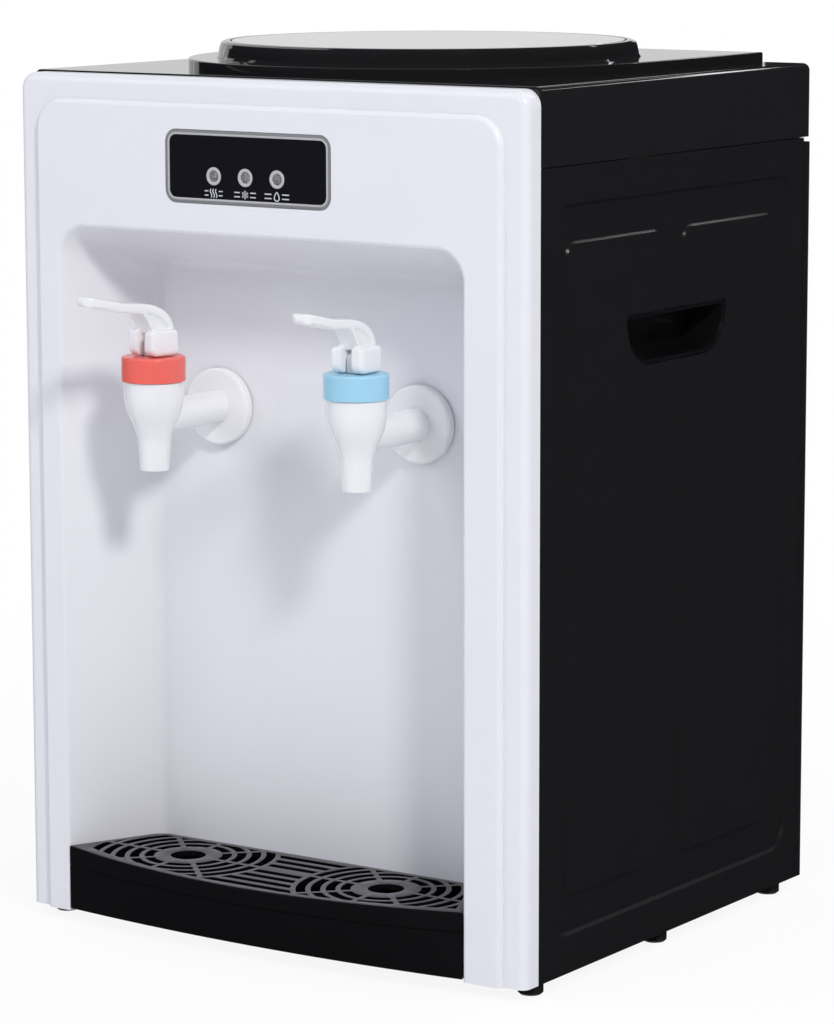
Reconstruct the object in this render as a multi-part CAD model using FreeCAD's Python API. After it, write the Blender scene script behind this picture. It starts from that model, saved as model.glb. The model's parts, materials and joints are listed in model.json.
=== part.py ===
import FreeCAD, Part
import math
import os

V = FreeCAD.Vector
X_AXIS = V(1, 0, 0)
Y_AXIS = V(0, 1, 0)
Z_AXIS = V(0, 0, 1)

# Countertop water dispenser for a bottle, hot and cold, in millimetres.
# While it is modelled, x is 0 in the middle, y is 0 on the white border's front face
# and grows to the rear, and z is 0 under the casing. The last lines move the whole to
# stand on its feet, in the middle of its footprint.

# Casing
BODY_WIDTH = 290.0
BODY_DEPTH = 260.0
BODY_HEIGHT = 411.0
WALL = 2.5
SIDE_WALL = 3.0
SEAM = 0.4
TOP_SKIRT = 36.0
REAR_RETURN = 7.0
FRAME_RETURN = 11.2
FRAME_TOP_DROP = 0.8
FRAME_CORNER_R = 8.0
FRAME_EDGE_R = 4.0
CASING_EDGE_R = 2.0
COVER_EDGE_R = 3.5
COVER_FRONT_R = 1.0
REAR_TOP_GAP = 2.6
COVER_LIP = 2.0
COVER_LIP_DROP = 6.0
COVER_LIP_ROOT = 4.0

# Raised field of the white front
RAISE = 3.0
RAISED_SIDE_MARGIN = 12.0
RAISED_TOP_MARGIN = 11.7
RAISED_CORNER_R = 15.0
RAISED_EDGE_R = 2.2

# Alcove in the white front
ALCOVE_X = -3.2
ALCOVE_DEPTH = 47.5
ALCOVE_SIDE_MARGIN = 28.8
ALCOVE_SIDE_LEAN = 21.6
ALCOVE_TOP_MARGIN = 73.0
ALCOVE_TOP_LEAN = 19.0
ALCOVE_CORNER_R = 15.0
ALCOVE_FOLD_R = 8.0
ALCOVE_RIM_R = 2.2
ALCOVE_RIM = 8.0

# Indicator window
LED_X = -7.0
LED_TOP_MARGIN = 41.7
BEZEL_WIDTH = 94.7
BEZEL_HEIGHT = 34.0
BEZEL_FACE = 2.3
BEZEL_CORNER_R = 6.0
BEZEL_DEPTH = 1.4
BEZEL_PROUD = 0.4
LED_LEDGE = 2.6
LED_PITCH = 18.2
LED_SHIFT_X = -1.2
LED_SHIFT_Z = -4.1
LED_RING_R = 4.3
LED_LENS_R = 2.65
LED_FIT = 0.05
BOARD_THICK = 1.6
LED_BOARD_Y = 4.0
LED_BOARD_WIDTH = 97.0
LED_BOARD_HEIGHT = 20.0
POST_R = 2.5

# Taps
TAP_SIDE_MARGIN = 36.2
TAP_Y = -9.0
TAP_CEILING_GAP = 69.0
TAP_PIPE_R = 8.0
TAP_BORE_R = 4.5
TAP_FLANGE_R = 18.6
TAP_FLANGE = 4.2
TAP_GASKET = 0.8
TAP_SHANK_R = 7.6
TAP_SHANK = 18.0
TAP_BARB_R = 5.0
TAP_BARB = 11.0
TAP_NUT_R = 13.0
TAP_NUT = 8.0
SPOUT_DROP = 24.6
SPOUT_R = 7.2
SPOUT_BORE_R = 5.0
SPOUT_LIP = 0.3
SPOUT_TAPER = 0.7
SPOUT_STRAIGHT = 14.5
WAIST_HEIGHT = 19.0
WAIST_SPREAD = 1.9
BULB_LOW_HEIGHT = 23.8
BULB_LOW_SHARE = 0.78
BULB_MID_HEIGHT = 31.0
BULB_MID_SHARE = 0.95
BULB_R = 14.3
CHAMBER_R = 11.0
SEAT_DROP = 5.0
SEAT_BORE_R = 4.2
SEAT_LEDGE = 0.8
SEAT_DEPTH = 2.5
SEAT_FLARE = 1.5
NECK_R = 12.8
CAP_RISE = 18.0
CAP_HEIGHT = 11.6
CAP_R = 15.2
CAP_ROOF = 3.2
CAP_EDGE_R = 1.2
CAP_FIT = 0.3
STEM_R = 2.6
STEM_FIT = 0.35
STEM_COLLAR = 1.5
PLUG_R = 6.2
PLUG_HEIGHT = 5.0
PLUG_GAP = 0.3
SPRING_R = 5.2
SPRING_WIRE = 1.1

# Tap levers, about the pin
PIN_RISE = 6.0
PIN_R = 1.5
PIN_FIT = 0.05
PIN_SKIN = 1.6
LEVER_GAP_TOP = 4.9
STEM_HEAD = 5.2
STEM_HEAD_R = 3.5
CHEEK_GAP = 6.0
CHEEK_WIDTH = 6.0
CHEEK_FRONT = 8.4
CHEEK_REAR = 8.6
CHEEK_TOP = 6.6
CHEEK_LIFT = 0.3
CHEEK_TOE_R = 4.0
CHEEK_ROUND = 1.8
HANDLE_WIDTH = 11.4
HANDLE_LENGTH = 45.0
HANDLE_THICK = 4.6
HANDLE_ROUND = 1.7
HANDLE_TIP_RUN = 3.2
HANDLE_TIP_HEIGHT = 25.0
HANDLE_TIP_R = 5.6
HANDLE_SPOON_RUN = 12.5
HANDLE_SPOON_HEIGHT = 23.2
HANDLE_DIP_RUN = 22.0
HANDLE_DIP_HEIGHT = 21.0
BEND_RUN = 8.8
BEND_HEIGHT = 19.6
BEND_TOP_HEIGHT = 17.4
BEND_REAR = 9.2
BEND_SHOULDER_Y = 6.4
BEND_SHOULDER_HEIGHT = 12.8
BEND_HEEL_Y = 9.0
BEND_HEEL_HEIGHT = 7.6
NECK_FOOT = 3.0
WALL_FOOT_RUN = 3.8
WALL_TOP_RUN = 11.2
WALL_TOP_HEIGHT = 15.8
WALL_HOLLOW = 0.7
NECK_WALL = 2.2
NECK_WALL_WIDTH = 11.0
NECK_WEB_WIDTH = 8.4
HOT_YAW = -10.0
COLD_YAW = 0.0

# Drip tray and its grille
TRAY_CLEAR = 0.6
TRAY_HEIGHT = 23.3
TRAY_WALL = 2.2
TRAY_FLOOR = 2.4
TRAY_CORNER_R = 12.0
TRAY_BOTTOM_Z = 1.2
TRAY_BOW_LOW = 6.5
TRAY_BOW_PARTING = 17.0
TRAY_BOW_TOP = 21.0
GRILLE_SKIRT = 9.4
GRILLE_GAP = 0.3
GRILLE_PLATE = 2.6
GRILLE_RIM = 4.2
GRILLE_CENTRE_Y = 13.6
GRILLE_HOLE_R = 8.6
GRILLE_FIRST_R = 16.7
GRILLE_PITCH = 7.1
GRILLE_SLOT = 4.6
GRILLE_RINGS = 5
GRILLE_SPOKE = 2.6
GRILLE_SPOKES = 8
GRILLE_ROW_PITCH = 8.1
GRILLE_MID_BAR = 7.2
GRILLE_LIP = 1.5
GRILLE_LIP_FIT = 0.5
GRILLE_LIP_FRONT = 15.0
GRILLE_EDGE_R = 1.0

# Bottle collar, lid and seat
PLATFORM_FRONT_GAP = 8.6
PLATFORM_REAR_GAP = 6.2
PLATFORM_STEP = 4.6
PLATFORM_EDGE_R = 0.8
PLATFORM_SHELF = 13.5
COLLAR_LEAN = 1.7
COLLAR_HEIGHT = 8.2
COLLAR_EDGE_R = 2.6
COLLAR_RIM = 5.6
LID_GAP = 0.4
LID_THICK = 3.0
LID_SHEET = 2.2
LID_RING_INSET = 15.7
COLLAR_LEDGE = 4.2
SLEEVE_FIT = 0.3
SLEEVE_WALL = 1.9
SLEEVE_DROP = 2.0
SEAT_FLANGE = 2.0
FUNNEL_FLANGE = 9.7
FUNNEL_WALL = 2.5
FUNNEL_DROP = 11.0
THROAT_R = 31.0
THROAT_DROP = 27.0
THROAT_DEPTH = 28.0
THROAT_FLOOR = 2.5
PROBE_R = 9.0
PROBE_BORE_R = 6.5
PROBE_HEIGHT = 30.0
PROBE_FLANGE_R = 24.0

# Side panels and their grips
POCKET_FRONT_Y = 21.8
POCKET_REAR_MARGIN = 17.8
POCKET_BOTTOM_Z = 18.0
POCKET_TOP_MARGIN = 17.5
POCKET_CORNER_R = 15.0
POCKET_DEPTH = 1.5
POCKET_SLOPE = 1.5
FIELD_FRONT_INSET = 12.2
FIELD_REAR_INSET = 17.4
FIELD_BOTTOM = 17.6
FIELD_TOP = 17.3
FIELD_GAP = 19.0
FIELD_GAP_SHIFT = -4.0
FIELD_CORNER_R = 7.0
FIELD_RAISE = 1.1
FIELD_SLOPE = 1.0
GRIP_LENGTH = 91.7
GRIP_SHIFT = 0.2
GRIP_DROP = 73.0
GRIP_HEIGHT = 24.8
GRIP_CORNER_R = 21.0
GRIP_TOP_R = 1.0
GRIP_DEPTH = 22.0
GRIP_WALL = 1.8
GRIP_RISE = 9.0
GRIP_FIT = 0.3
GRIP_FLANGE = 3.0
LAP_WALL = 2.4
FLANGE_WIDTH = 12.0
FLANGE_THICK = 2.2

# Rear panel
VENT_DROP = 49.0
VENT_WIDTH = 104.0
VENT_SLOT = 4.0
VENT_PITCH = 9.0
VENT_COUNT = 11
LOW_VENT_Z = 160.0
LOW_VENT_WIDTH = 70.0
LOW_VENT_COUNT = 5
SCREW_HEAD_R = 3.2
SCREW_HEAD = 2.0
SCREW_SHANK_R = 1.4
SCREW_LENGTH = 7.0
SCREW_INSET = 7.5
SCREW_BOTTOM_Z = 22.0
SCREW_TOP_MARGIN = 17.0

# Rear fittings
SWITCH_SIDE_MARGIN = 37.0
SWITCH_PITCH = 24.0
SWITCH_Z = 92.0
SWITCH_WIDTH = 13.0
SWITCH_HEIGHT = 19.4
SWITCH_FLANGE = 1.8
SWITCH_RIM = 2.0
SWITCH_DEPTH = 14.0
SWITCH_WALL = 1.2
ROCKER_TILT = 10.0
ROCKER_R = 1.2
ROCKER_WING = 6.6
ROCKER_THICK = 2.6
GLAND_SIDE_MARGIN = 49.0
GLAND_Z = 46.0
GLAND_BORE_R = 3.6
GLAND_R = 7.0
GLAND_FLANGE_R = 9.5
GLAND_INSIDE = 8.0
GLAND_OUTSIDE = 4.0
DRAIN_X = -62.0
DRAIN_Z = 34.0
DRAIN_R = 8.0
DRAIN_BORE_R = 4.6
DRAIN_FLANGE_R = 12.0
DRAIN_FLANGE = 2.0
DRAIN_STUB = 9.0
DRAIN_INSIDE = 12.0
DRAIN_CAP_R = 11.0
DRAIN_CAP_FIT = 0.3
DRAIN_CAP_ROOF = 2.5
DRAIN_RIB_COUNT = 12
DRAIN_RIB_R = 0.9

# Base and feet
BASE_THICK = 3.0
FOOT_HEIGHT = 6.0
FOOT_R = 6.0
FOOT_SIDE_INSET = 8.0
FOOT_FRONT_Y = 17.0
FOOT_REAR_INSET = 21.0
FOOT_PLUG_R = 2.0
FOOT_PLUG_FIT = 0.1
FOOT_CHAMFER = 1.0

# Cold side
TANK_FRONT_GAP = 13.8
TANK_WALL = 1.5
TANK_DROP = 50.0
TANK_HEIGHT = 79.0
TANK_MOUTH_FIT = 0.4
TANK_GASKET = 2.5
JACKET_THICK = 10.0
NIPPLE_R = 4.0
NIPPLE_BORE_R = 2.8
NIPPLE_DROP = 24.0
COLD_NIPPLE_INSET_X = 26.0
COLD_NIPPLE_INSET_Y = 25.2
SEPARATOR_RISE = 36.0
SEPARATOR_GAP = 14.0
SEPARATOR_THICK = 1.6
SEPARATOR_TUBE_R = 7.0
MODULE_SIZE = 40.0
MODULE_THICK = 4.0
FAN_REAR_GAP = 0.5
SINK_SIZE = 100.0
SINK_BASE = 5.0
SINK_FIN_DEPTH = 14.0
SINK_FIN = 1.2
SINK_FIN_COUNT = 15
FAN_SIZE = 92.0
FAN_DEPTH = 15.0
FAN_BORE_R = 43.0
FAN_HUB_R = 15.0
FAN_BLADE_GAP = 1.5
FAN_BLADES = 7
FAN_BLADE_THICK = 1.4
FAN_PITCH = 38.0
FAN_STRUT = 3.0
FAN_CORNER_R = 5.0
FAN_PIN_R = 2.0
FAN_PIN_FIT = 0.05

# Inner frame and hot side
SHEET = 1.2
FRAME_HALF = 80.0
FRAME_FRONT_REACH = 56.8
FRAME_REAR_REACH = 63.2
FRAME_FOOT = 12.0
HOT_SHIFT = 3.2
HOT_R = 42.0
HOT_BOTTOM_Z = 70.0
HOT_TOP_GAP = 60.0
HOT_WALL = 1.0
HOT_STAND_HALF = 30.0
HOT_STAND_DEPTH = 40.0
HEATER_HEIGHT = 24.0
HEATER_THICK = 2.4
HEATER_Z = 8.0
HOT_JACKET_THICK = 9.0
HOT_JACKET_GAP = 4.0
THERMOSTAT_R = 8.0
THERMOSTAT_HEIGHT = 7.0
THERMOSTAT_X = 20.0
THERMOSTAT_SHIFT = 18.0
THERMOSTAT_TAB_WIDTH = 4.8
THERMOSTAT_TAB = 0.8
THERMOSTAT_TAB_RISE = 7.0
THERMOSTAT_TAB_PITCH = 10.0
THERMOSTAT_TAB_ROOT = 1.0
HOT_NIPPLE = 10.0
HOT_OUT_X = -26.0
HOT_OUT_REACH = 22.0
HOSE_WALL = 1.5

# Power board
POWER_HEIGHT = 92.0
POWER_WIDTH = 84.0
POWER_Z = 60.0
POWER_INSET = 18.0
POWER_STANDOFF = 8.0
POWER_STANDOFF_R = 3.0
TRANSFORMER_SIDE = 28.0
TRANSFORMER_HEIGHT = 24.0
RELAY_LENGTH = 16.0
RELAY_WIDTH = 20.0
RELAY_HEIGHT = 15.0
REGULATOR_THICK = 3.0
REGULATOR_LENGTH = 34.0
REGULATOR_HEIGHT = 22.0
CAPACITOR_R = 5.5
CAPACITOR_HEIGHT = 18.0
CAPACITOR_PITCH_Y = 16.0
CAPACITOR_PITCH_Z = 18.0
PLUG_WIDTH = 7.0
PLUG_LENGTH = 14.0
PLUG_RISE = 8.0
PLUG_PITCH = 10.0
COMPONENT_EDGE_GAP = 10.0
COMPONENT_ROW_Z = 14.0
RELAY_PLACE = 50.0
REGULATOR_PLACE = 46.0
CAPACITOR_PLACE_Y = 14.0
CAPACITOR_PLACE_Z = 58.0
PLUG_PLACE_Y = 58.0
PLUG_PLACE_Z = 60.0

# Places and sizes that follow from the ones above
HALF_WIDTH = BODY_WIDTH / 2
INNER_HALF = HALF_WIDTH - SIDE_WALL - SEAM
PARTING_Z = BODY_HEIGHT - TOP_SKIRT
REAR_SKIN_Y = BODY_DEPTH - WALL
BASE_TOP_Z = BASE_THICK
INNER_FLOOR_Z = BASE_THICK + SEAM
PLATFORM_Z = BODY_HEIGHT + PLATFORM_STEP
COLLAR_Z = PLATFORM_Z + COLLAR_HEIGHT
FACE_Y = -RAISE
ALCOVE_BACK_Y = FACE_Y + ALCOVE_DEPTH
ALCOVE_HALF_FRONT = HALF_WIDTH - ALCOVE_SIDE_MARGIN
ALCOVE_HALF_BACK = ALCOVE_HALF_FRONT - ALCOVE_SIDE_LEAN
ALCOVE_TOP_FRONT = BODY_HEIGHT - ALCOVE_TOP_MARGIN
ALCOVE_TOP_BACK = ALCOVE_TOP_FRONT - ALCOVE_TOP_LEAN
LED_Z = BODY_HEIGHT - LED_TOP_MARGIN
TAP_X = ALCOVE_HALF_BACK - TAP_SIDE_MARGIN
TAP_PIPE_Z = ALCOVE_TOP_BACK - TAP_CEILING_GAP
SPOUT_Z = TAP_PIPE_Z - SPOUT_DROP
SEAT_Z = TAP_PIPE_Z - SEAT_DROP
CAP_BOTTOM_Z = TAP_PIPE_Z + CAP_RISE
CAP_TOP_Z = CAP_BOTTOM_Z + CAP_HEIGHT
PIN_Z = CAP_TOP_Z + PIN_RISE
FLANGE_FRONT_Y = ALCOVE_BACK_Y - TAP_GASKET - TAP_FLANGE
SPRING_BOTTOM_Z = SEAT_Z + PLUG_GAP + PLUG_HEIGHT + STEM_COLLAR
SPRING_TOP_Z = CAP_TOP_Z - CAP_ROOF
TRAY_FLOOR_Z = BASE_TOP_Z + TRAY_FLOOR
GRILLE_TOP_Z = TRAY_HEIGHT + GRILLE_GAP + GRILLE_SKIRT
PLATFORM_FRONT_Y = FRAME_RETURN + PLATFORM_FRONT_GAP
PLATFORM_R = (BODY_DEPTH - PLATFORM_REAR_GAP - PLATFORM_FRONT_Y) / 2
COLLAR_Y = PLATFORM_FRONT_Y + PLATFORM_R
COLLAR_BASE_R = PLATFORM_R - PLATFORM_SHELF
COLLAR_TOP_R = COLLAR_BASE_R - COLLAR_LEAN
LID_R = COLLAR_TOP_R - COLLAR_RIM
LID_RING_R = LID_R - LID_RING_INSET
DECK_HOLE_R = LID_R - COLLAR_LEDGE
SLEEVE_R = DECK_HOLE_R - SLEEVE_FIT
FUNNEL_R = SLEEVE_R - FUNNEL_FLANGE
THROAT_TOP_Z = BODY_HEIGHT - THROAT_DROP
THROAT_FLOOR_Z = THROAT_TOP_Z - THROAT_DEPTH
POCKET_REAR_Y = BODY_DEPTH - POCKET_REAR_MARGIN
POCKET_TOP_Z = PARTING_Z - POCKET_TOP_MARGIN
POCKET_MIDDLE_Y = (POCKET_FRONT_Y + POCKET_REAR_Y) / 2
GRIP_FRONT_Y = POCKET_MIDDLE_Y + GRIP_SHIFT - GRIP_LENGTH / 2
GRIP_REAR_Y = GRIP_FRONT_Y + GRIP_LENGTH
GRIP_TOP_Z = PARTING_Z - GRIP_DROP
GRIP_BOTTOM_Z = GRIP_TOP_Z - GRIP_HEIGHT
SCREW_TOP_Z = PARTING_Z - SCREW_TOP_MARGIN
SCREW_ROWS = (SCREW_BOTTOM_Z, (SCREW_BOTTOM_Z + SCREW_TOP_Z) / 2, SCREW_TOP_Z)
SWITCH_X = (HALF_WIDTH - SWITCH_SIDE_MARGIN - SWITCH_PITCH, HALF_WIDTH - SWITCH_SIDE_MARGIN)
GLAND_X = HALF_WIDTH - GLAND_SIDE_MARGIN
FOOT_X = HALF_WIDTH - FOOT_SIDE_INSET
FOOT_REAR_Y = BODY_DEPTH - FOOT_REAR_INSET
FOOT_ROWS = (FOOT_FRONT_Y, (FOOT_FRONT_Y + FOOT_REAR_Y) / 2, FOOT_REAR_Y)
TANK_R = COLLAR_Y - ALCOVE_BACK_Y - WALL - TANK_FRONT_GAP - JACKET_THICK
TANK_TOP_Z = BODY_HEIGHT - TANK_DROP
TANK_BOTTOM_Z = TANK_TOP_Z - TANK_HEIGHT
JACKET_BOTTOM_Z = TANK_BOTTOM_Z - JACKET_THICK
COLD_NIPPLE_X = TANK_R - COLD_NIPPLE_INSET_X
COLD_NIPPLE_Y = COLLAR_Y - TANK_R + COLD_NIPPLE_INSET_Y
SEPARATOR_Z = TANK_BOTTOM_Z + SEPARATOR_RISE
SEPARATOR_R = TANK_R - SEPARATOR_GAP
VENT_Z = TANK_TOP_Z - VENT_DROP
FAN_FRONT_Y = REAR_SKIN_Y - FAN_REAR_GAP - FAN_DEPTH
BLOCK_REAR_Y = FAN_FRONT_Y - SINK_FIN_DEPTH - SINK_BASE - MODULE_THICK
FRAME_FRONT_Y = COLLAR_Y - FRAME_FRONT_REACH
FRAME_REAR_Y = COLLAR_Y + FRAME_REAR_REACH
HOT_Y = COLLAR_Y + HOT_SHIFT
HOT_HEIGHT = TAP_PIPE_Z - HOT_TOP_GAP - HOT_BOTTOM_Z
HOT_OUT_Y = HOT_Y - HOT_OUT_REACH
POWER_Y = FRAME_FRONT_Y + POWER_INSET


def block(x0, x1, y0, y1, z0, z1):
    return Part.makeBox(x1 - x0, y1 - y0, z1 - z0, V(x0, y0, z0))


def rod(radius, start, direction, length):
    return Part.makeCylinder(radius, length, start, direction)


def tube(outer, inner, start, direction, length):
    return rod(outer, start, direction, length).cut(rod(inner, start, direction, length))


def fused(shapes):
    whole = shapes[0]
    for shape in shapes[1:]:
        whole = whole.fuse(shape)
    return whole.removeSplitter()


def cut_all(shape, tools):
    for tool in tools:
        shape = shape.cut(tool)
    return shape


def apart(shapes):
    return Part.makeCompound(shapes)


# One closed outline whose corners are rounded, each by its own radius.
def rounded_outline(points, radii):
    count = len(points)
    starts = []
    ends = []
    arcs = []
    for i in range(count):
        corner = points[i]
        before = (points[i - 1] - corner).normalize()
        after = (points[(i + 1) % count] - corner).normalize()
        if radii[i] == 0:
            starts.append(corner)
            ends.append(corner)
            arcs.append(None)
            continue
        half = before.getAngle(after) / 2
        reach = radii[i] / math.tan(half)
        start = corner + before * reach
        end = corner + after * reach
        inward = (before + after).normalize()
        middle = corner + inward * (radii[i] / math.sin(half) - radii[i])
        starts.append(start)
        ends.append(end)
        arcs.append(Part.Arc(start, middle, end).toShape())
    edges = []
    for i in range(count):
        here = ends[i - 1]
        if here.distanceToPoint(starts[i]) > 0.001:
            edges.append(Part.LineSegment(here, starts[i]).toShape())
        if arcs[i]:
            edges.append(arcs[i])
    return Part.Wire(edges)


def prism(wire, direction):
    return Part.Face(wire).extrude(direction)


def ruled(first, last):
    return Part.makeLoft([first, last], True, True)


# A solid turned about an upright axis from points of radius and height.
def turned(points, x, y):
    corners = [V(x + r, y, z) for r, z in points]
    face = Part.Face(Part.makePolygon(corners + corners[:1]))
    return face.revolve(V(x, y, 0), Z_AXIS, 360)


# A rectangle in a plane of constant y, rounded at its corners.
def upright_outline(half, bottom, top, y, bottom_r, top_r, x=0.0):
    points = [V(x - half, y, bottom), V(x + half, y, bottom), V(x + half, y, top), V(x - half, y, top)]
    return rounded_outline(points, [bottom_r, bottom_r, top_r, top_r])


# A rectangle in a plane of constant x, rounded at its corners.
def side_outline(x, front, rear, bottom, top, bottom_r, top_r):
    points = [V(x, front, bottom), V(x, rear, bottom), V(x, rear, top), V(x, front, top)]
    return rounded_outline(points, [bottom_r, bottom_r, top_r, top_r])


def edges_where(shape, test):
    return [edge for edge in shape.Edges if test(edge.BoundBox)]


def mirrored(shape):
    return shape.mirror(V(0, 0, 0), X_AXIS)


# White front with its alcove
def front_block(inset):
    half = HALF_WIDTH - inset
    frame_top = BODY_HEIGHT - FRAME_TOP_DROP
    top = frame_top - inset
    frame = prism(
        upright_outline(half, inset, top, inset, 0, FRAME_CORNER_R - inset),
        V(0, FRAME_RETURN - inset + (1.0 if inset else 0.0), 0),
    )
    raised_half = HALF_WIDTH - RAISED_SIDE_MARGIN - inset
    raised_top = frame_top - RAISED_TOP_MARGIN - inset
    raised = prism(
        upright_outline(raised_half, inset, raised_top, FACE_Y + inset, 0, RAISED_CORNER_R - inset),
        V(0, RAISE + 1.0, 0),
    )
    if inset == 0:
        rim = edges_where(frame, lambda b: b.YMax < 0.01 and b.ZMax > 0.01)
        frame = frame.makeFillet(FRAME_EDGE_R, rim)
        rim = edges_where(raised, lambda b: b.YMax < FACE_Y + 0.01 and b.ZMax > 0.01)
        raised = raised.makeFillet(RAISED_EDGE_R, rim)
    return frame.fuse(raised)


def alcove(outset, front_y, bottom_z):
    lean_side = (ALCOVE_HALF_BACK - ALCOVE_HALF_FRONT) / ALCOVE_DEPTH
    lean_top = (ALCOVE_TOP_BACK - ALCOVE_TOP_FRONT) / ALCOVE_DEPTH
    back_y = ALCOVE_BACK_Y + outset

    def section(y):
        run = y - FACE_Y
        half = ALCOVE_HALF_FRONT + lean_side * run + outset
        top = ALCOVE_TOP_FRONT + lean_top * run + outset
        return upright_outline(half, bottom_z, top, y, 0, ALCOVE_CORNER_R + outset, ALCOVE_X)

    hollow = ruled(section(front_y), section(back_y))
    fold = edges_where(hollow, lambda b: b.YMin > back_y - 0.01 and b.ZMax > bottom_z + 0.01)
    return hollow.makeFillet(ALCOVE_FOLD_R + outset, fold)


def bezel_outline(inset, y):
    return upright_outline(
        BEZEL_WIDTH / 2 - inset,
        LED_Z - BEZEL_HEIGHT / 2 + inset,
        LED_Z + BEZEL_HEIGHT / 2 - inset,
        y,
        BEZEL_CORNER_R - inset,
        BEZEL_CORNER_R - inset,
        LED_X,
    )


def led_centres():
    middle = LED_X + LED_SHIFT_X
    return [V(middle + i * LED_PITCH, FACE_Y, LED_Z + LED_SHIFT_Z) for i in (-1, 0, 1)]


def led_board_posts():
    posts = []
    for sx in (-1, 1):
        for sz in (-1, 1):
            x = LED_X + sx * (LED_BOARD_WIDTH / 2 - POST_R)
            z = LED_Z + sz * (LED_BOARD_HEIGHT / 2 - POST_R)
            post_length = LED_BOARD_Y - FACE_Y - WALL + 0.5
            posts.append(rod(POST_R, V(x, FACE_Y + WALL - 0.5, z), Y_AXIS, post_length))
    return posts


def front_panel():
    shell = front_block(0).cut(front_block(WALL))
    room = block(-HALF_WIDTH, HALF_WIDTH, FACE_Y + WALL / 2, BODY_DEPTH, 0, BODY_HEIGHT)
    skin = alcove(WALL, FACE_Y - 1, -1).common(room)
    rim_room = block(-HALF_WIDTH, HALF_WIDTH, FACE_Y + WALL / 2, FACE_Y + ALCOVE_RIM, 0, BODY_HEIGHT)
    rim = alcove(ALCOVE_RIM, FACE_Y - 1, -1).common(rim_room)
    panel = fused([shell, skin, rim] + led_board_posts())
    panel = panel.cut(alcove(0, FACE_Y - 1, -1))
    mouth = edges_where(
        panel,
        lambda b: b.YMax < FACE_Y + 0.01
        and b.YMin > FACE_Y - 0.01
        and b.XMax < ALCOVE_X + ALCOVE_HALF_FRONT + 1
        and b.XMin > ALCOVE_X - ALCOVE_HALF_FRONT - 1
        and b.ZMax < ALCOVE_TOP_FRONT + 1
        and b.ZMax > 1,
    )
    panel = panel.makeFillet(ALCOVE_RIM_R, mouth)
    recess = prism(bezel_outline(-0.3, FACE_Y - 1), V(0, 1 + BEZEL_DEPTH - BEZEL_PROUD, 0))
    window_hole = prism(bezel_outline(BEZEL_FACE + LED_LEDGE, FACE_Y - 1), V(0, WALL + 2, 0))
    base_slot = block(-HALF_WIDTH + WALL, HALF_WIDTH - WALL, WALL, BODY_DEPTH, -1, INNER_FLOOR_Z)
    shank_r = TAP_SHANK_R + CAP_FIT
    shanks = [rod(shank_r, V(sx * TAP_X, 0, TAP_PIPE_Z), Y_AXIS, BODY_DEPTH / 2) for sx in (-1, 1)]
    return cut_all(panel, [recess, window_hole, base_slot] + shanks)


# Indicator window in the front
def led_bezel():
    y = FACE_Y - BEZEL_PROUD
    outer = prism(bezel_outline(0, y), V(0, BEZEL_DEPTH, 0))
    rim = edges_where(outer, lambda b: b.YMax < y + 0.01)
    outer = outer.makeFillet(BEZEL_PROUD, rim)
    return outer.cut(prism(bezel_outline(BEZEL_FACE, y - 1), V(0, BEZEL_DEPTH + 2, 0)))


def led_window():
    plate = prism(bezel_outline(BEZEL_FACE + LED_FIT, FACE_Y), V(0, BEZEL_DEPTH - BEZEL_PROUD, 0))
    holes = [rod(LED_RING_R + LED_FIT, c - Y_AXIS, Y_AXIS, BEZEL_DEPTH + 2) for c in led_centres()]
    return cut_all(plate, holes)


def led_rings():
    rings = []
    for c in led_centres():
        start = c - Y_AXIS * (BEZEL_PROUD / 2)
        length = BEZEL_DEPTH - BEZEL_PROUD / 2
        rings.append(tube(LED_RING_R, LED_LENS_R + LED_FIT, start, Y_AXIS, length))
    return apart(rings)


def led_lenses():
    lenses = []
    for c in led_centres():
        start = c - Y_AXIS * (BEZEL_PROUD / 2)
        length = LED_BOARD_Y - start.y
        lenses.append(rod(LED_LENS_R, start, Y_AXIS, length))
    return apart(lenses)


def led_board():
    x0 = LED_X - LED_BOARD_WIDTH / 2
    z0 = LED_Z - LED_BOARD_HEIGHT / 2
    board = block(
        x0,
        x0 + LED_BOARD_WIDTH,
        LED_BOARD_Y,
        LED_BOARD_Y + BOARD_THICK,
        z0,
        z0 + LED_BOARD_HEIGHT,
    )
    board_back = LED_BOARD_Y + BOARD_THICK
    plug = block(x0 + 4, x0 + 16, board_back, board_back + 4, LED_Z - 4, LED_Z + 4)
    return fused([board, plug])


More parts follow.
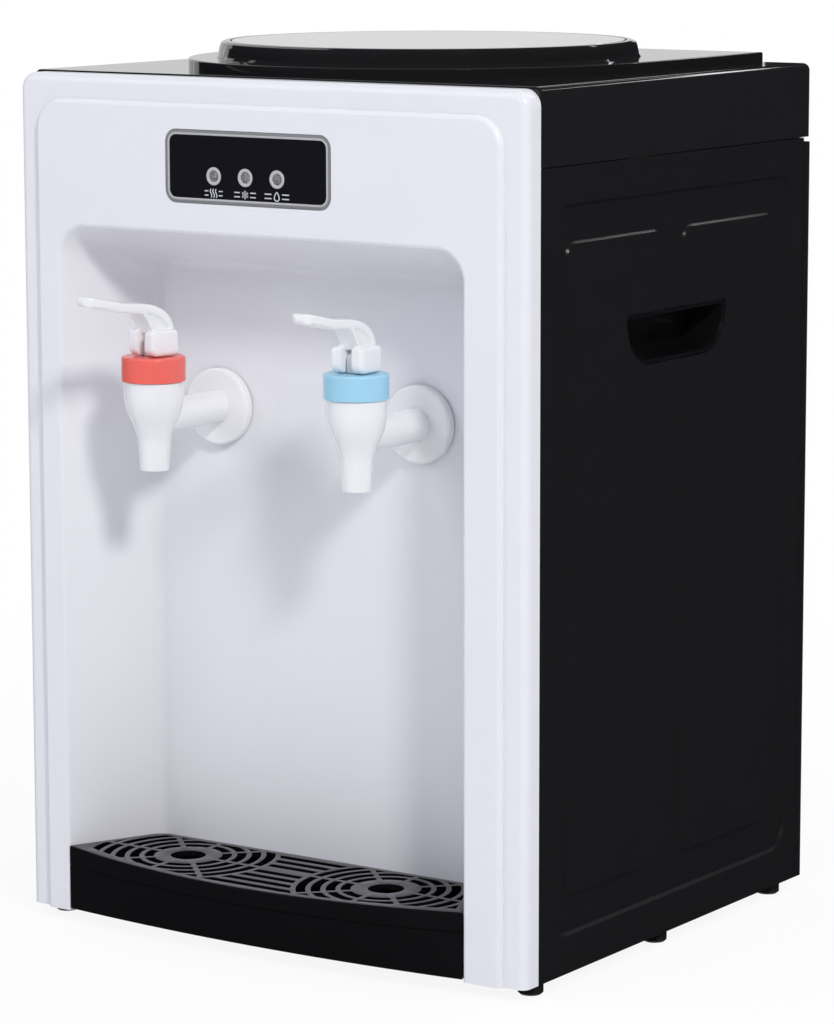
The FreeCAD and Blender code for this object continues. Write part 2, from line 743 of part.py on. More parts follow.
# Tap parts stand at x 0 and y 0 and are then placed.
def tap_body():
    mouth = [V(SPOUT_BORE_R, 0, SPOUT_Z), V(SPOUT_R - SPOUT_LIP, 0, SPOUT_Z)]
    spout_top = V(SPOUT_R + SPOUT_TAPER, 0, SPOUT_Z + SPOUT_STRAIGHT)
    bulb_low = V(BULB_R * BULB_LOW_SHARE, 0, SPOUT_Z + BULB_LOW_HEIGHT)
    bulb_high = V(BULB_R - 0.1, 0, CAP_BOTTOM_Z - 6)
    bulb_top = V(BULB_R, 0, CAP_BOTTOM_Z - CAP_FIT)
    neck_low = V(NECK_R, 0, CAP_BOTTOM_Z - CAP_FIT)
    neck_top = V(NECK_R, 0, CAP_TOP_Z - CAP_ROOF - CAP_FIT)
    bore_top = V(CHAMBER_R, 0, neck_top.z)
    bore_low = V(CHAMBER_R, 0, TAP_PIPE_Z + TAP_BORE_R)
    seat_out = V(PLUG_R + SEAT_LEDGE, 0, SEAT_Z)
    seat_in = V(SEAT_BORE_R, 0, SEAT_Z)
    throat = V(SEAT_BORE_R, 0, SEAT_Z - SEAT_DEPTH)
    spout_in = V(SPOUT_BORE_R, 0, SEAT_Z - SEAT_DEPTH - SEAT_FLARE)
    waist_mid = V(SPOUT_R + WAIST_SPREAD, 0, SPOUT_Z + WAIST_HEIGHT)
    waist = Part.Arc(spout_top, waist_mid, bulb_low).toShape()
    bulb_mid = V(BULB_R * BULB_MID_SHARE, 0, SPOUT_Z + BULB_MID_HEIGHT)
    bulb = Part.Arc(bulb_low, bulb_mid, bulb_high).toShape()
    line = [mouth[0], mouth[1], spout_top]
    edges = [Part.LineSegment(a, b).toShape() for a, b in zip(line, line[1:])]
    edges += [waist, bulb]
    line = [bulb_high, bulb_top, neck_low, neck_top, bore_top, bore_low, seat_out, seat_in, throat]
    line += [spout_in, mouth[0]]
    edges += [Part.LineSegment(a, b).toShape() for a, b in zip(line, line[1:])]
    barrel = Part.Face(Part.Wire(edges)).revolve(V(0, 0, 0), Z_AXIS, 360)
    reach = FLANGE_FRONT_Y - TAP_Y
    shank_end = ALCOVE_BACK_Y + TAP_SHANK - TAP_Y
    centre = V(0, 0, TAP_PIPE_Z)
    inside = turned(
        [
            (0, bore_top.z),
            (CHAMBER_R, bore_top.z),
            (CHAMBER_R, bore_low.z),
            (seat_out.x, SEAT_Z),
            (SEAT_BORE_R, SEAT_Z),
            (SEAT_BORE_R, throat.z),
            (SPOUT_BORE_R, spout_in.z),
            (SPOUT_BORE_R, SPOUT_Z),
            (0, SPOUT_Z),
        ],
        0,
        0,
    )
    pipe = rod(TAP_PIPE_R, centre, Y_AXIS, reach + 1)
    flange = rod(TAP_FLANGE_R, centre + Y_AXIS * reach, Y_AXIS, TAP_FLANGE)
    face = edges_where(flange, lambda b: b.YMax < reach + 0.01)
    flange = flange.makeFillet(1.5, face)
    shank = rod(TAP_SHANK_R, centre + Y_AXIS * reach, Y_AXIS, shank_end - reach)
    barb = rod(TAP_BARB_R, centre + Y_AXIS * shank_end, Y_AXIS, TAP_BARB)
    arm = fused([pipe, flange, shank, barb]).cut(inside)
    bore = rod(TAP_BORE_R, centre + Y_AXIS * (PLUG_R + 1), Y_AXIS, shank_end)
    barb_bore = rod(TAP_BARB_R - 1.6, centre + Y_AXIS * (shank_end - 1), Y_AXIS, TAP_BARB + 2)
    bore = bore.common(block(-9, 9, 0, shank_end, 0, BODY_HEIGHT))
    return fused([barrel, arm]).cut(bore).cut(barb_bore)


def tap_cap():
    height = CAP_TOP_Z - CAP_BOTTOM_Z
    cap = rod(CAP_R, V(0, 0, CAP_BOTTOM_Z), Z_AXIS, height)
    top = edges_where(cap, lambda b: b.ZMin > CAP_TOP_Z - 0.01)
    cap = cap.makeFillet(CAP_EDGE_R, top)
    socket = rod(NECK_R + CAP_FIT, V(0, 0, CAP_BOTTOM_Z - 1), Z_AXIS, height - CAP_ROOF + 1)
    hole = rod(STEM_R + STEM_FIT, V(0, 0, CAP_BOTTOM_Z), Z_AXIS, height + 1)
    return cap.cut(socket).cut(hole)


def tap_stem():
    foot_z = SEAT_Z + PLUG_GAP + PLUG_HEIGHT
    rod_top = PIN_Z - STEM_HEAD_R
    shaft = rod(STEM_R, V(0, 0, foot_z - 3), Z_AXIS, rod_top - foot_z + 4)
    collar = rod(PLUG_R - 0.4, V(0, 0, foot_z), Z_AXIS, STEM_COLLAR)
    flat = block(-STEM_HEAD / 2, STEM_HEAD / 2, -STEM_HEAD_R, STEM_HEAD_R, CAP_TOP_Z + CHEEK_LIFT, PIN_Z)
    eye = rod(STEM_HEAD_R, V(-STEM_HEAD / 2, 0, PIN_Z), X_AXIS, STEM_HEAD)
    pin_hole = rod(PIN_R, V(-STEM_HEAD, 0, PIN_Z), X_AXIS, STEM_HEAD * 2)
    return fused([shaft, collar, flat, eye]).cut(pin_hole)


def tap_plug():
    base_z = SEAT_Z + PLUG_GAP
    plug = rod(PLUG_R, V(0, 0, base_z), Z_AXIS, PLUG_HEIGHT)
    low = edges_where(plug, lambda b: b.ZMax < base_z + 0.01)
    plug = plug.makeFillet(1.0, low)
    return plug.cut(rod(STEM_R, V(0, 0, base_z + PLUG_HEIGHT - 3), Z_AXIS, 4))


def tap_spring():
    height = SPRING_TOP_Z - SPRING_BOTTOM_Z
    return tube(SPRING_R, SPRING_R - SPRING_WIRE, V(0, 0, SPRING_BOTTOM_Z), Z_AXIS, height)


def tap_pin():
    span = CHEEK_GAP / 2 + CHEEK_WIDTH - PIN_SKIN
    return rod(PIN_R, V(-span, 0, PIN_Z), X_AXIS, 2 * span)


def lever_cheek():
    low = CAP_TOP_Z + CHEEK_LIFT
    high = PIN_Z + CHEEK_TOP
    x = CHEEK_GAP / 2
    outline = ((-CHEEK_FRONT, low), (CHEEK_REAR, low), (CHEEK_REAR, high), (-CHEEK_FRONT, high))
    points = [V(x, y, z) for y, z in outline]
    cheek = prism(rounded_outline(points, [CHEEK_TOE_R, 2.0, 2.0, 2.0]), V(CHEEK_WIDTH, 0, 0))
    outer = edges_where(cheek, lambda b: b.XMin > x + CHEEK_WIDTH - 0.01)
    return cheek.makeFillet(CHEEK_ROUND, outer)


# The handle's upper line, from the tip over the bend and down to the heel
def handle_top_line(x):
    points = [
        V(x, HANDLE_TIP_RUN - HANDLE_LENGTH, PIN_Z + HANDLE_TIP_HEIGHT),
        V(x, HANDLE_SPOON_RUN - HANDLE_LENGTH, PIN_Z + HANDLE_SPOON_HEIGHT),
        V(x, -HANDLE_DIP_RUN, PIN_Z + HANDLE_DIP_HEIGHT),
        V(x, -BEND_RUN, PIN_Z + BEND_HEIGHT),
        V(x, 0, PIN_Z + BEND_TOP_HEIGHT),
        V(x, BEND_SHOULDER_Y, PIN_Z + BEND_SHOULDER_HEIGHT),
        V(x, BEND_HEEL_Y, PIN_Z + BEND_HEEL_HEIGHT),
        V(x, BEND_REAR, PIN_Z + NECK_FOOT),
    ]
    line = Part.BSplineCurve()
    line.interpolate(points)
    return line


# A line that follows another one at a constant depth below it
def line_below(line, depth, count):
    points = []
    for i in range(count + 1):
        place = line.FirstParameter + (line.LastParameter - line.FirstParameter) * i / count
        along = line.tangent(place)[0]
        points.append(line.value(place) + V(0, -along.z, along.y) * -depth)
    below = Part.BSplineCurve()
    below.interpolate(points)
    return below


def lever_handle():
    x = -HANDLE_WIDTH / 2
    over = handle_top_line(x)
    under = line_below(over, HANDLE_THICK, 12)
    tip = V(x, -HANDLE_LENGTH, PIN_Z + HANDLE_TIP_HEIGHT - HANDLE_THICK / 2)
    edges = [
        over.toShape(),
        Part.LineSegment(over.EndPoint, under.EndPoint).toShape(),
        under.toShape(),
        Part.Arc(under.StartPoint, tip, over.StartPoint).toShape(),
    ]
    handle = prism(Part.Wire(Part.__sortEdges__(edges)), V(HANDLE_WIDTH, 0, 0))
    long_edges = edges_where(handle, lambda b: b.XLength < 0.01 and b.YLength > 20)
    handle = handle.makeFillet(HANDLE_ROUND, long_edges)
    half = HANDLE_WIDTH / 2
    corners = rounded_outline(
        [
            V(-half, -HANDLE_LENGTH - 0.1, PIN_Z),
            V(half, -HANDLE_LENGTH - 0.1, PIN_Z),
            V(half, CHEEK_REAR + 2, PIN_Z),
            V(-half, CHEEK_REAR + 2, PIN_Z),
        ],
        [HANDLE_TIP_R, HANDLE_TIP_R, 1.0, 1.0],
    )
    return handle.common(prism(corners, V(0, 0, 40)))


# The front wall under the bend, and the narrower web between it and the handle
def lever_neck():
    def at(x, y, height):
        return V(x, y, PIN_Z + height)

    def front_line(x, back):
        foot = at(x, back - WALL_FOOT_RUN, NECK_FOOT)
        top = at(x, back - WALL_TOP_RUN, WALL_TOP_HEIGHT)
        middle = (foot + top) / 2 + V(0, WALL_HOLLOW, 0)
        return foot, middle, top

    x = -NECK_WALL_WIDTH / 2
    foot, middle, top = front_line(x, 0)
    back_foot, back_middle, back_top = front_line(x, NECK_WALL)
    wall = [
        Part.Arc(foot, middle, top).toShape(),
        Part.LineSegment(top, back_top).toShape(),
        Part.Arc(back_top, back_middle, back_foot).toShape(),
        Part.LineSegment(back_foot, foot).toShape(),
    ]
    x = -NECK_WEB_WIDTH / 2
    foot, middle, top = front_line(x, NECK_WALL / 2)
    depth = HANDLE_THICK / 2
    top_inside = at(x, 0, BEND_TOP_HEIGHT - depth)
    shoulder_inside = at(x, BEND_SHOULDER_Y - depth, BEND_SHOULDER_HEIGHT - depth)
    heel_inside = at(x, BEND_REAR - depth, NECK_FOOT)
    straight = Part.makePolygon([top, top_inside, shoulder_inside, heel_inside, foot])
    web = [Part.Arc(foot, middle, top).toShape()] + straight.Edges
    wall_solid = prism(Part.Wire(wall), V(NECK_WALL_WIDTH, 0, 0))
    return wall_solid.fuse(prism(Part.Wire(web), V(NECK_WEB_WIDTH, 0, 0)))


def tap_lever():
    cheek = lever_cheek()
    lever = fused([lever_handle(), lever_neck(), cheek, mirrored(cheek)])
    half_gap = CHEEK_GAP / 2
    gap = block(-half_gap, half_gap, -CHEEK_FRONT - 2, CHEEK_REAR + 2, CAP_TOP_Z - 1, PIN_Z + LEVER_GAP_TOP)
    half = CHEEK_GAP / 2 + CHEEK_WIDTH - PIN_SKIN + PIN_FIT
    pin_hole = rod(PIN_R + PIN_FIT, V(-half, 0, PIN_Z), X_AXIS, 2 * half)
    return lever.cut(gap).cut(pin_hole)


def tap_gasket():
    start = V(0, ALCOVE_BACK_Y - TAP_Y - TAP_GASKET, TAP_PIPE_Z)
    return tube(TAP_FLANGE_R - 2, TAP_SHANK_R + CAP_FIT, start, Y_AXIS, TAP_GASKET)


def tap_nut():
    y = ALCOVE_BACK_Y + WALL - TAP_Y
    corners = []
    for i in range(6):
        turn = math.radians(60 * i)
        corners.append(V(TAP_NUT_R * math.cos(turn), y, TAP_PIPE_Z + TAP_NUT_R * math.sin(turn)))
    nut = prism(Part.makePolygon(corners + corners[:1]), V(0, TAP_NUT, 0))
    return nut.cut(rod(TAP_SHANK_R + 0.1, V(0, y - 1, TAP_PIPE_Z), Y_AXIS, TAP_NUT + 2))


def placed_tap_part(shape, side, yaw):
    shape = shape.copy()
    shape.rotate(V(0, 0, 0), Z_AXIS, yaw)
    shape.translate(V(side * TAP_X, TAP_Y, 0))
    return shape


def tap_parts(name, side, yaw):
    fixed = {"body": tap_body(), "cap": tap_cap()}
    swung = {"stem": tap_stem(), "plug": tap_plug(), "spring": tap_spring()}
    swung.update({"pin": tap_pin(), "lever": tap_lever()})
    parts = {}
    for piece, shape in fixed.items():
        parts[name + "_tap_" + piece] = placed_tap_part(shape, side, 0)
    for piece, shape in swung.items():
        parts[name + "_tap_" + piece] = placed_tap_part(shape, side, yaw)
    return parts


def one_for_each_tap(shape):
    return apart([placed_tap_part(shape, side, 0) for side in (-1, 1)])


# Drip tray and grille, whose front bows out and leans back toward its foot
def tray_half(y):
    lean = (ALCOVE_HALF_BACK - ALCOVE_HALF_FRONT) / ALCOVE_DEPTH
    return ALCOVE_HALF_FRONT + lean * (y - FACE_Y) - TRAY_CLEAR


def tray_outline(z, bow, inset):
    front_y = FACE_Y + inset
    back_y = ALCOVE_BACK_Y - TRAY_CLEAR - inset
    left = V(-tray_half(front_y) + inset, front_y, z)
    right = V(tray_half(front_y) - inset, front_y, z)
    back_right = V(tray_half(back_y) - inset, back_y, z)
    back_left = V(-tray_half(back_y) + inset, back_y, z)
    radius = TRAY_CORNER_R - inset
    side = (back_right - right).normalize()
    half_angle = (right - back_right).getAngle(V(-1, 0, 0)) / 2
    reach = radius / math.tan(half_angle)
    right_start = back_right - side * reach
    right_end = back_right - X_AXIS * reach
    inward = (-side - X_AXIS).normalize()
    right_mid = back_right + inward * (radius / math.sin(half_angle) - radius)
    flip = [V(-p.x, p.y, p.z) for p in (right_end, right_mid, right_start)]
    bow_point = V(0, front_y - bow, z)
    edges = [
        Part.Arc(left, bow_point, right).toShape(),
        Part.LineSegment(right, right_start).toShape(),
        Part.Arc(right_start, right_mid, right_end).toShape(),
        Part.LineSegment(right_end, flip[0]).toShape(),
        Part.Arc(flip[0], flip[1], flip[2]).toShape(),
        Part.LineSegment(flip[2], left).toShape(),
    ]
    outline = Part.Wire(edges)
    outline.translate(V(ALCOVE_X, 0, 0))
    return outline


def tray_bow(z):
    if z <= TRAY_HEIGHT:
        return TRAY_BOW_LOW + (TRAY_BOW_PARTING - TRAY_BOW_LOW) * z / TRAY_HEIGHT
    rise = (z - TRAY_HEIGHT) / GRILLE_SKIRT
    return TRAY_BOW_PARTING + (TRAY_BOW_TOP - TRAY_BOW_PARTING) * rise


def tray_solid(low, high, inset):
    return ruled(tray_outline(low, tray_bow(low), inset), tray_outline(high, tray_bow(high), inset))


def drip_tray():
    tray = tray_solid(TRAY_BOTTOM_Z, TRAY_HEIGHT, 0)
    hollow = tray_solid(TRAY_FLOOR_Z, TRAY_HEIGHT, TRAY_WALL)
    heel = block(-HALF_WIDTH, HALF_WIDTH, WALL - 0.1, BODY_DEPTH, -1, BASE_TOP_Z)
    return tray.cut(hollow).cut(heel)


def grille_slots():
    field_wire = tray_outline(GRILLE_TOP_Z - GRILLE_PLATE - 1, TRAY_BOW_TOP, GRILLE_RIM)
    field = prism(field_wire, V(0, 0, GRILLE_PLATE + 2))
    low = GRILLE_TOP_Z - GRILLE_PLATE - 1
    high = GRILLE_PLATE + 2
    reach = GRILLE_FIRST_R + GRILLE_PITCH * GRILLE_RINGS - (GRILLE_PITCH - GRILLE_SLOT)
    rings = []
    for side in (-1, 1):
        centre = V(side * TAP_X, GRILLE_CENTRE_Y, low)
        set_of_rings = []
        for i in range(GRILLE_RINGS):
            inner = GRILLE_FIRST_R + i * GRILLE_PITCH
            set_of_rings.append(tube(inner + GRILLE_SLOT, inner, centre, Z_AXIS, high))
        for k in range(GRILLE_SPOKES // 2):
            spoke_half = GRILLE_SPOKE / 2
            spoke = block(-2 * reach, 2 * reach, -spoke_half, spoke_half, low - 1, low + high + 1)
            spoke.rotate(V(0, 0, 0), Z_AXIS, 360.0 / GRILLE_SPOKES * k)
            spoke.translate(V(centre.x, centre.y, 0))
            set_of_rings = [ring.cut(spoke) for ring in set_of_rings]
        outside = block(TAP_X, HALF_WIDTH, -HALF_WIDTH, HALF_WIDTH, low - 1, low + high + 1)
        if side < 0:
            outside = mirrored(outside)
        set_of_rings[-1] = set_of_rings[-1].common(outside)
        rings += set_of_rings
        rings.append(rod(GRILLE_HOLE_R, centre, Z_AXIS, high))
    rows = []
    for side in (-1, 1):
        for k in range(4):
            start = side * (GRILLE_MID_BAR / 2 + k * GRILLE_ROW_PITCH)
            y0 = GRILLE_CENTRE_Y + min(start, start + side * GRILLE_SLOT)
            rows.append(block(-TAP_X, TAP_X, y0, y0 + GRILLE_SLOT, low, low + high))
    for side in (-1, 1):
        keep_r = reach - GRILLE_PITCH + GRILLE_SPOKE
        keep_out = rod(keep_r, V(side * TAP_X, GRILLE_CENTRE_Y, low - 1), Z_AXIS, high + 2)
        rows = [row.cut(keep_out) for row in rows]
    return [slot.common(field) for slot in rings + rows]


def drip_grille():
    low = TRAY_HEIGHT + GRILLE_GAP
    body = ruled(tray_outline(low, TRAY_BOW_PARTING, 0), tray_outline(GRILLE_TOP_Z, TRAY_BOW_TOP, 0))
    top = edges_where(body, lambda b: b.ZMin > GRILLE_TOP_Z - 0.01)
    body = body.makeFillet(GRILLE_EDGE_R, top)
    under_z = GRILLE_TOP_Z - GRILLE_PLATE
    hollow = ruled(
        tray_outline(low, TRAY_BOW_PARTING, TRAY_WALL),
        tray_outline(under_z, TRAY_BOW_TOP - 1, TRAY_WALL),
    )
    body = cut_all(body.cut(hollow), grille_slots())
    lip_inset = TRAY_WALL + GRILLE_LIP_FIT
    rise = V(0, 0, under_z + GRILLE_PLATE / 2 - TRAY_FLOOR_Z)
    outer = prism(tray_outline(TRAY_FLOOR_Z, TRAY_BOW_LOW, lip_inset), rise)
    inner = prism(tray_outline(TRAY_FLOOR_Z, TRAY_BOW_LOW, lip_inset + GRILLE_LIP), rise)
    keep = block(-HALF_WIDTH, HALF_WIDTH, GRILLE_LIP_FRONT, BODY_DEPTH, 0, BODY_HEIGHT)
    return fused([body, outer.cut(inner).common(keep)])


# Casing shells
def platform_outline(inset, z):
    half = PLATFORM_R - inset
    rear = BODY_DEPTH - inset
    right = V(half, COLLAR_Y, z)
    left = V(-half, COLLAR_Y, z)
    edges = [
        Part.Arc(left, V(0, COLLAR_Y - half, z), right).toShape(),
        Part.LineSegment(right, V(half, rear, z)).toShape(),
        Part.LineSegment(V(half, rear, z), V(-half, rear, z)).toShape(),
        Part.LineSegment(V(-half, rear, z), left).toShape(),
    ]
    return Part.Wire(edges)


def top_cover():
    front = FRAME_RETURN + SEAM
    shell = block(-HALF_WIDTH, HALF_WIDTH, front, BODY_DEPTH, PARTING_Z, BODY_HEIGHT)
    rounded = edges_where(
        shell,
        lambda b: (b.ZMin > BODY_HEIGHT - 0.01 and b.YMax > front + 1)
        or (b.YMin > BODY_DEPTH - 0.01 and b.ZMax - b.ZMin > 1),
    )
    shell = shell.makeFillet(COVER_EDGE_R, rounded)
    front_top = edges_where(shell, lambda b: b.ZMin > BODY_HEIGHT - 0.01 and b.YMax < front + 0.01)
    shell = shell.makeFillet(COVER_FRONT_R, front_top)
    platform = prism(platform_outline(0, BODY_HEIGHT - 1), V(0, 0, PLATFORM_STEP + 1))
    top = edges_where(platform, lambda b: b.ZMin > PLATFORM_Z - 0.01)
    platform = platform.makeFillet(PLATFORM_EDGE_R, top)
    room = block(
        -HALF_WIDTH + SIDE_WALL,
        HALF_WIDTH - SIDE_WALL,
        front + WALL,
        REAR_SKIN_Y,
        PARTING_Z - 1,
        BODY_HEIGHT - WALL,
    )
    step_room = prism(platform_outline(WALL, BODY_HEIGHT - WALL - 1), V(0, 0, PLATFORM_STEP + 1))
    hole = rod(DECK_HOLE_R, V(0, COLLAR_Y, PARTING_Z), Z_AXIS, BODY_HEIGHT)
    cover = fused([shell, platform]).cut(room).cut(step_room).cut(hole)
    return fused([cover] + cover_lip())


# Lip of the top cover that closes the gap over the rear panel from inside
def cover_lip():
    half = HALF_WIDTH - SIDE_WALL - SEAM - FLANGE_WIDTH - SEAM
    rear = REAR_SKIN_Y - SEAM
    front = rear - COVER_LIP
    root = PARTING_Z + COVER_LIP_ROOT
    hanging = block(-half, half, front, rear, PARTING_Z - COVER_LIP_DROP, root)
    bridge = block(-half, half, front, REAR_SKIN_Y + WALL / 2, root - COVER_LIP, root)
    return [hanging, bridge]


def bottle_collar():
    ledge = COLLAR_Z - LID_THICK
    seat_ledge = ledge - SEAT_FLANGE - 0.4
    inner = SLEEVE_R - SLEEVE_WALL
    foot = BODY_HEIGHT - SLEEVE_DROP
    return turned(
        [
            (COLLAR_BASE_R, PLATFORM_Z),
            (COLLAR_BASE_R - 0.8, PLATFORM_Z + 1.2),
            (COLLAR_TOP_R, COLLAR_Z - COLLAR_EDGE_R),
            (COLLAR_TOP_R - COLLAR_EDGE_R * 0.3, COLLAR_Z - COLLAR_EDGE_R * 0.3),
            (COLLAR_TOP_R - COLLAR_EDGE_R, COLLAR_Z),
            (LID_R + LID_GAP, COLLAR_Z),
            (LID_R + LID_GAP, ledge),
            (SLEEVE_R + SLEEVE_FIT, ledge),
            (SLEEVE_R + SLEEVE_FIT, seat_ledge),
            (inner, seat_ledge),
            (inner, foot),
            (SLEEVE_R, foot),
            (SLEEVE_R, PLATFORM_Z),
        ],
        0,
        COLLAR_Y,
    )


def dust_cover():
    under = COLLAR_Z - LID_SHEET
    return turned(
        [
            (0, COLLAR_Z),
            (LID_R - 0.6, COLLAR_Z),
            (LID_R, COLLAR_Z - 0.6),
            (LID_R, COLLAR_Z - LID_THICK),
            (LID_R - 3, COLLAR_Z - LID_THICK),
            (LID_R - 3, under),
            (LID_RING_R, under),
            (LID_RING_R, under - 5),
            (LID_RING_R - 2, under - 5),
            (LID_RING_R - 2, under),
            (0, under),
        ],
        0,
        COLLAR_Y,
    )


def bottle_seat():
    ledge = COLLAR_Z - LID_THICK - SEAT_FLANGE - 0.4
    top = ledge + SEAT_FLANGE
    slope_z = top - FUNNEL_DROP
    outer = FUNNEL_R + FUNNEL_WALL
    throat = THROAT_R + FUNNEL_WALL
    floor_low = THROAT_FLOOR_Z - THROAT_FLOOR
    return turned(
        [
            (FUNNEL_R, top),
            (SLEEVE_R, top),
            (SLEEVE_R, ledge),
            (outer, ledge),
            (outer, slope_z - 1.4),
            (throat, THROAT_TOP_Z - 1.4),
            (throat, floor_low),
            (PROBE_R + 2, floor_low),
            (PROBE_R + 2, THROAT_FLOOR_Z),
            (THROAT_R, THROAT_FLOOR_Z),
            (THROAT_R, THROAT_TOP_Z),
            (FUNNEL_R, slope_z),
        ],
        0,
        COLLAR_Y,
    )


def bottle_probe():
    foot = THROAT_FLOOR_Z
    tip = foot + PROBE_HEIGHT
    probe = turned(
        [
            (PROBE_BORE_R, foot - 6),
            (PROBE_R, foot - 6),
            (PROBE_R, foot),
            (PROBE_FLANGE_R, foot),
            (PROBE_FLANGE_R, foot + 1.6),
            (PROBE_R, foot + 1.6),
            (PROBE_R, tip - 4),
            (PROBE_R - 3, tip),
            (0, tip),
            (0, tip - 2.5),
            (PROBE_BORE_R - 2, tip - 2.5),
            (PROBE_BORE_R, tip - 6),
        ],
        0,
        COLLAR_Y,
    )
    port_z = tip - 12
    ports = [
        block(-PROBE_R - 1, PROBE_R + 1, COLLAR_Y - 2, COLLAR_Y + 2, port_z, port_z + 5),
        block(-2, 2, COLLAR_Y - PROBE_R - 1, COLLAR_Y + PROBE_R + 1, port_z, port_z + 5),
    ]
    return cut_all(probe, ports)


def field_bounds():
    middle = POCKET_MIDDLE_Y + FIELD_GAP_SHIFT
    front = (POCKET_FRONT_Y + FIELD_FRONT_INSET, middle - FIELD_GAP / 2)
    rear = (middle + FIELD_GAP / 2, POCKET_REAR_Y - FIELD_REAR_INSET)
    return [front, rear]


def raised_field(front, rear):
    floor_x = HALF_WIDTH - POCKET_DEPTH
    bottom = POCKET_BOTTOM_Z + FIELD_BOTTOM
    top = POCKET_TOP_Z - FIELD_TOP
    r = FIELD_CORNER_R
    s = FIELD_SLOPE
    low = side_outline(floor_x - 0.5, front, rear, bottom, top, r, r)
    foot = side_outline(floor_x, front, rear, bottom, top, r, r)
    crown = side_outline(floor_x + FIELD_RAISE, front + s, rear - s, bottom + s, top - s, r - s, r - s)
    return ruled(low, foot).fuse(ruled(foot, crown))


def grip_outline(x, inset, rise=0.0):
    return side_outline(
        x,
        GRIP_FRONT_Y + inset,
        GRIP_REAR_Y - inset,
        GRIP_BOTTOM_Z + inset,
        GRIP_TOP_Z + rise - inset,
        GRIP_CORNER_R - inset,
        GRIP_TOP_R,
    )


def side_panel():
    front = FRAME_RETURN + SEAM
    seam_y = BODY_DEPTH - REAR_RETURN - SEAM
    top = PARTING_Z - SEAM
    wall = block(HALF_WIDTH - SIDE_WALL, HALF_WIDTH, front, seam_y, 0, top)
    s = POCKET_SLOPE
    r = POCKET_CORNER_R
    mouth = side_outline(HALF_WIDTH, POCKET_FRONT_Y, POCKET_REAR_Y, POCKET_BOTTOM_Z, POCKET_TOP_Z, r, r)
    floor = side_outline(
        HALF_WIDTH - POCKET_DEPTH,
        POCKET_FRONT_Y + s,
        POCKET_REAR_Y - s,
        POCKET_BOTTOM_Z + s,
        POCKET_TOP_Z - s,
        r - s,
        r - s,
    )
    wall = wall.cut(ruled(floor, mouth))
    wall = fused([wall] + [raised_field(a, b) for a, b in field_bounds()])
    lap_x = HALF_WIDTH - SIDE_WALL - SEAM
    rear_y = REAR_SKIN_Y - SEAM
    joint = block(lap_x - LAP_WALL, HALF_WIDTH - SIDE_WALL + 1, seam_y - 10, seam_y, INNER_FLOOR_Z, top - 1)
    lap = block(lap_x - LAP_WALL, lap_x, seam_y - 10, rear_y, INNER_FLOOR_Z, top - 1)
    flange = block(lap_x - FLANGE_WIDTH, lap_x, rear_y - FLANGE_THICK, rear_y, INNER_FLOOR_Z, top - 1)
    panel = fused([wall, joint, lap, flange])
    grip = prism(grip_outline(HALF_WIDTH - SIDE_WALL - 1, 0), V(SIDE_WALL + 2, 0, 0))
    holes = [rod(SCREW_SHANK_R + 0.05, V(screw_x(), rear_y - 10, z), Y_AXIS, 20) for z in SCREW_ROWS]
    return cut_all(panel, [grip] + holes)


# Finger cup behind the side panel, with room for the fingers above its mouth
def grip_cup():
    back_x = HALF_WIDTH - GRIP_DEPTH
    inner_x = HALF_WIDTH - SIDE_WALL - GRIP_FIT
    mouth_x = HALF_WIDTH - POCKET_DEPTH
    snout = prism(grip_outline(back_x, GRIP_FIT), V(mouth_x - back_x, 0, 0))
    shelf = GRIP_WALL + GRIP_FIT
    body = prism(grip_outline(back_x, GRIP_FIT, GRIP_RISE), V(inner_x - back_x, 0, 0))
    flange = prism(grip_outline(inner_x - 1.6, -GRIP_FLANGE, GRIP_RISE), V(1.6, 0, 0))
    solid = fused([snout, body, flange])
    hollow = prism(grip_outline(back_x + GRIP_WALL, shelf), V(GRIP_DEPTH, 0, 0))
    room = prism(
        grip_outline(back_x + GRIP_WALL, shelf, GRIP_RISE),
        V(inner_x - back_x - 2 * GRIP_WALL, 0, 0),
    )
    return solid.cut(hollow).cut(room)


def screw_x():
    return HALF_WIDTH - SIDE_WALL - SEAM - SCREW_INSET


def vent_slots(z, width, count):
    slots = []
    for i in range(count):
        low = z + (i - (count - 1) / 2) * VENT_PITCH - VENT_SLOT / 2
        outline = upright_outline(width / 2, low, low + VENT_SLOT, REAR_SKIN_Y - 1, 1.9, 1.9)
        slots.append(prism(outline, V(0, WALL + 2, 0)))
    return slots


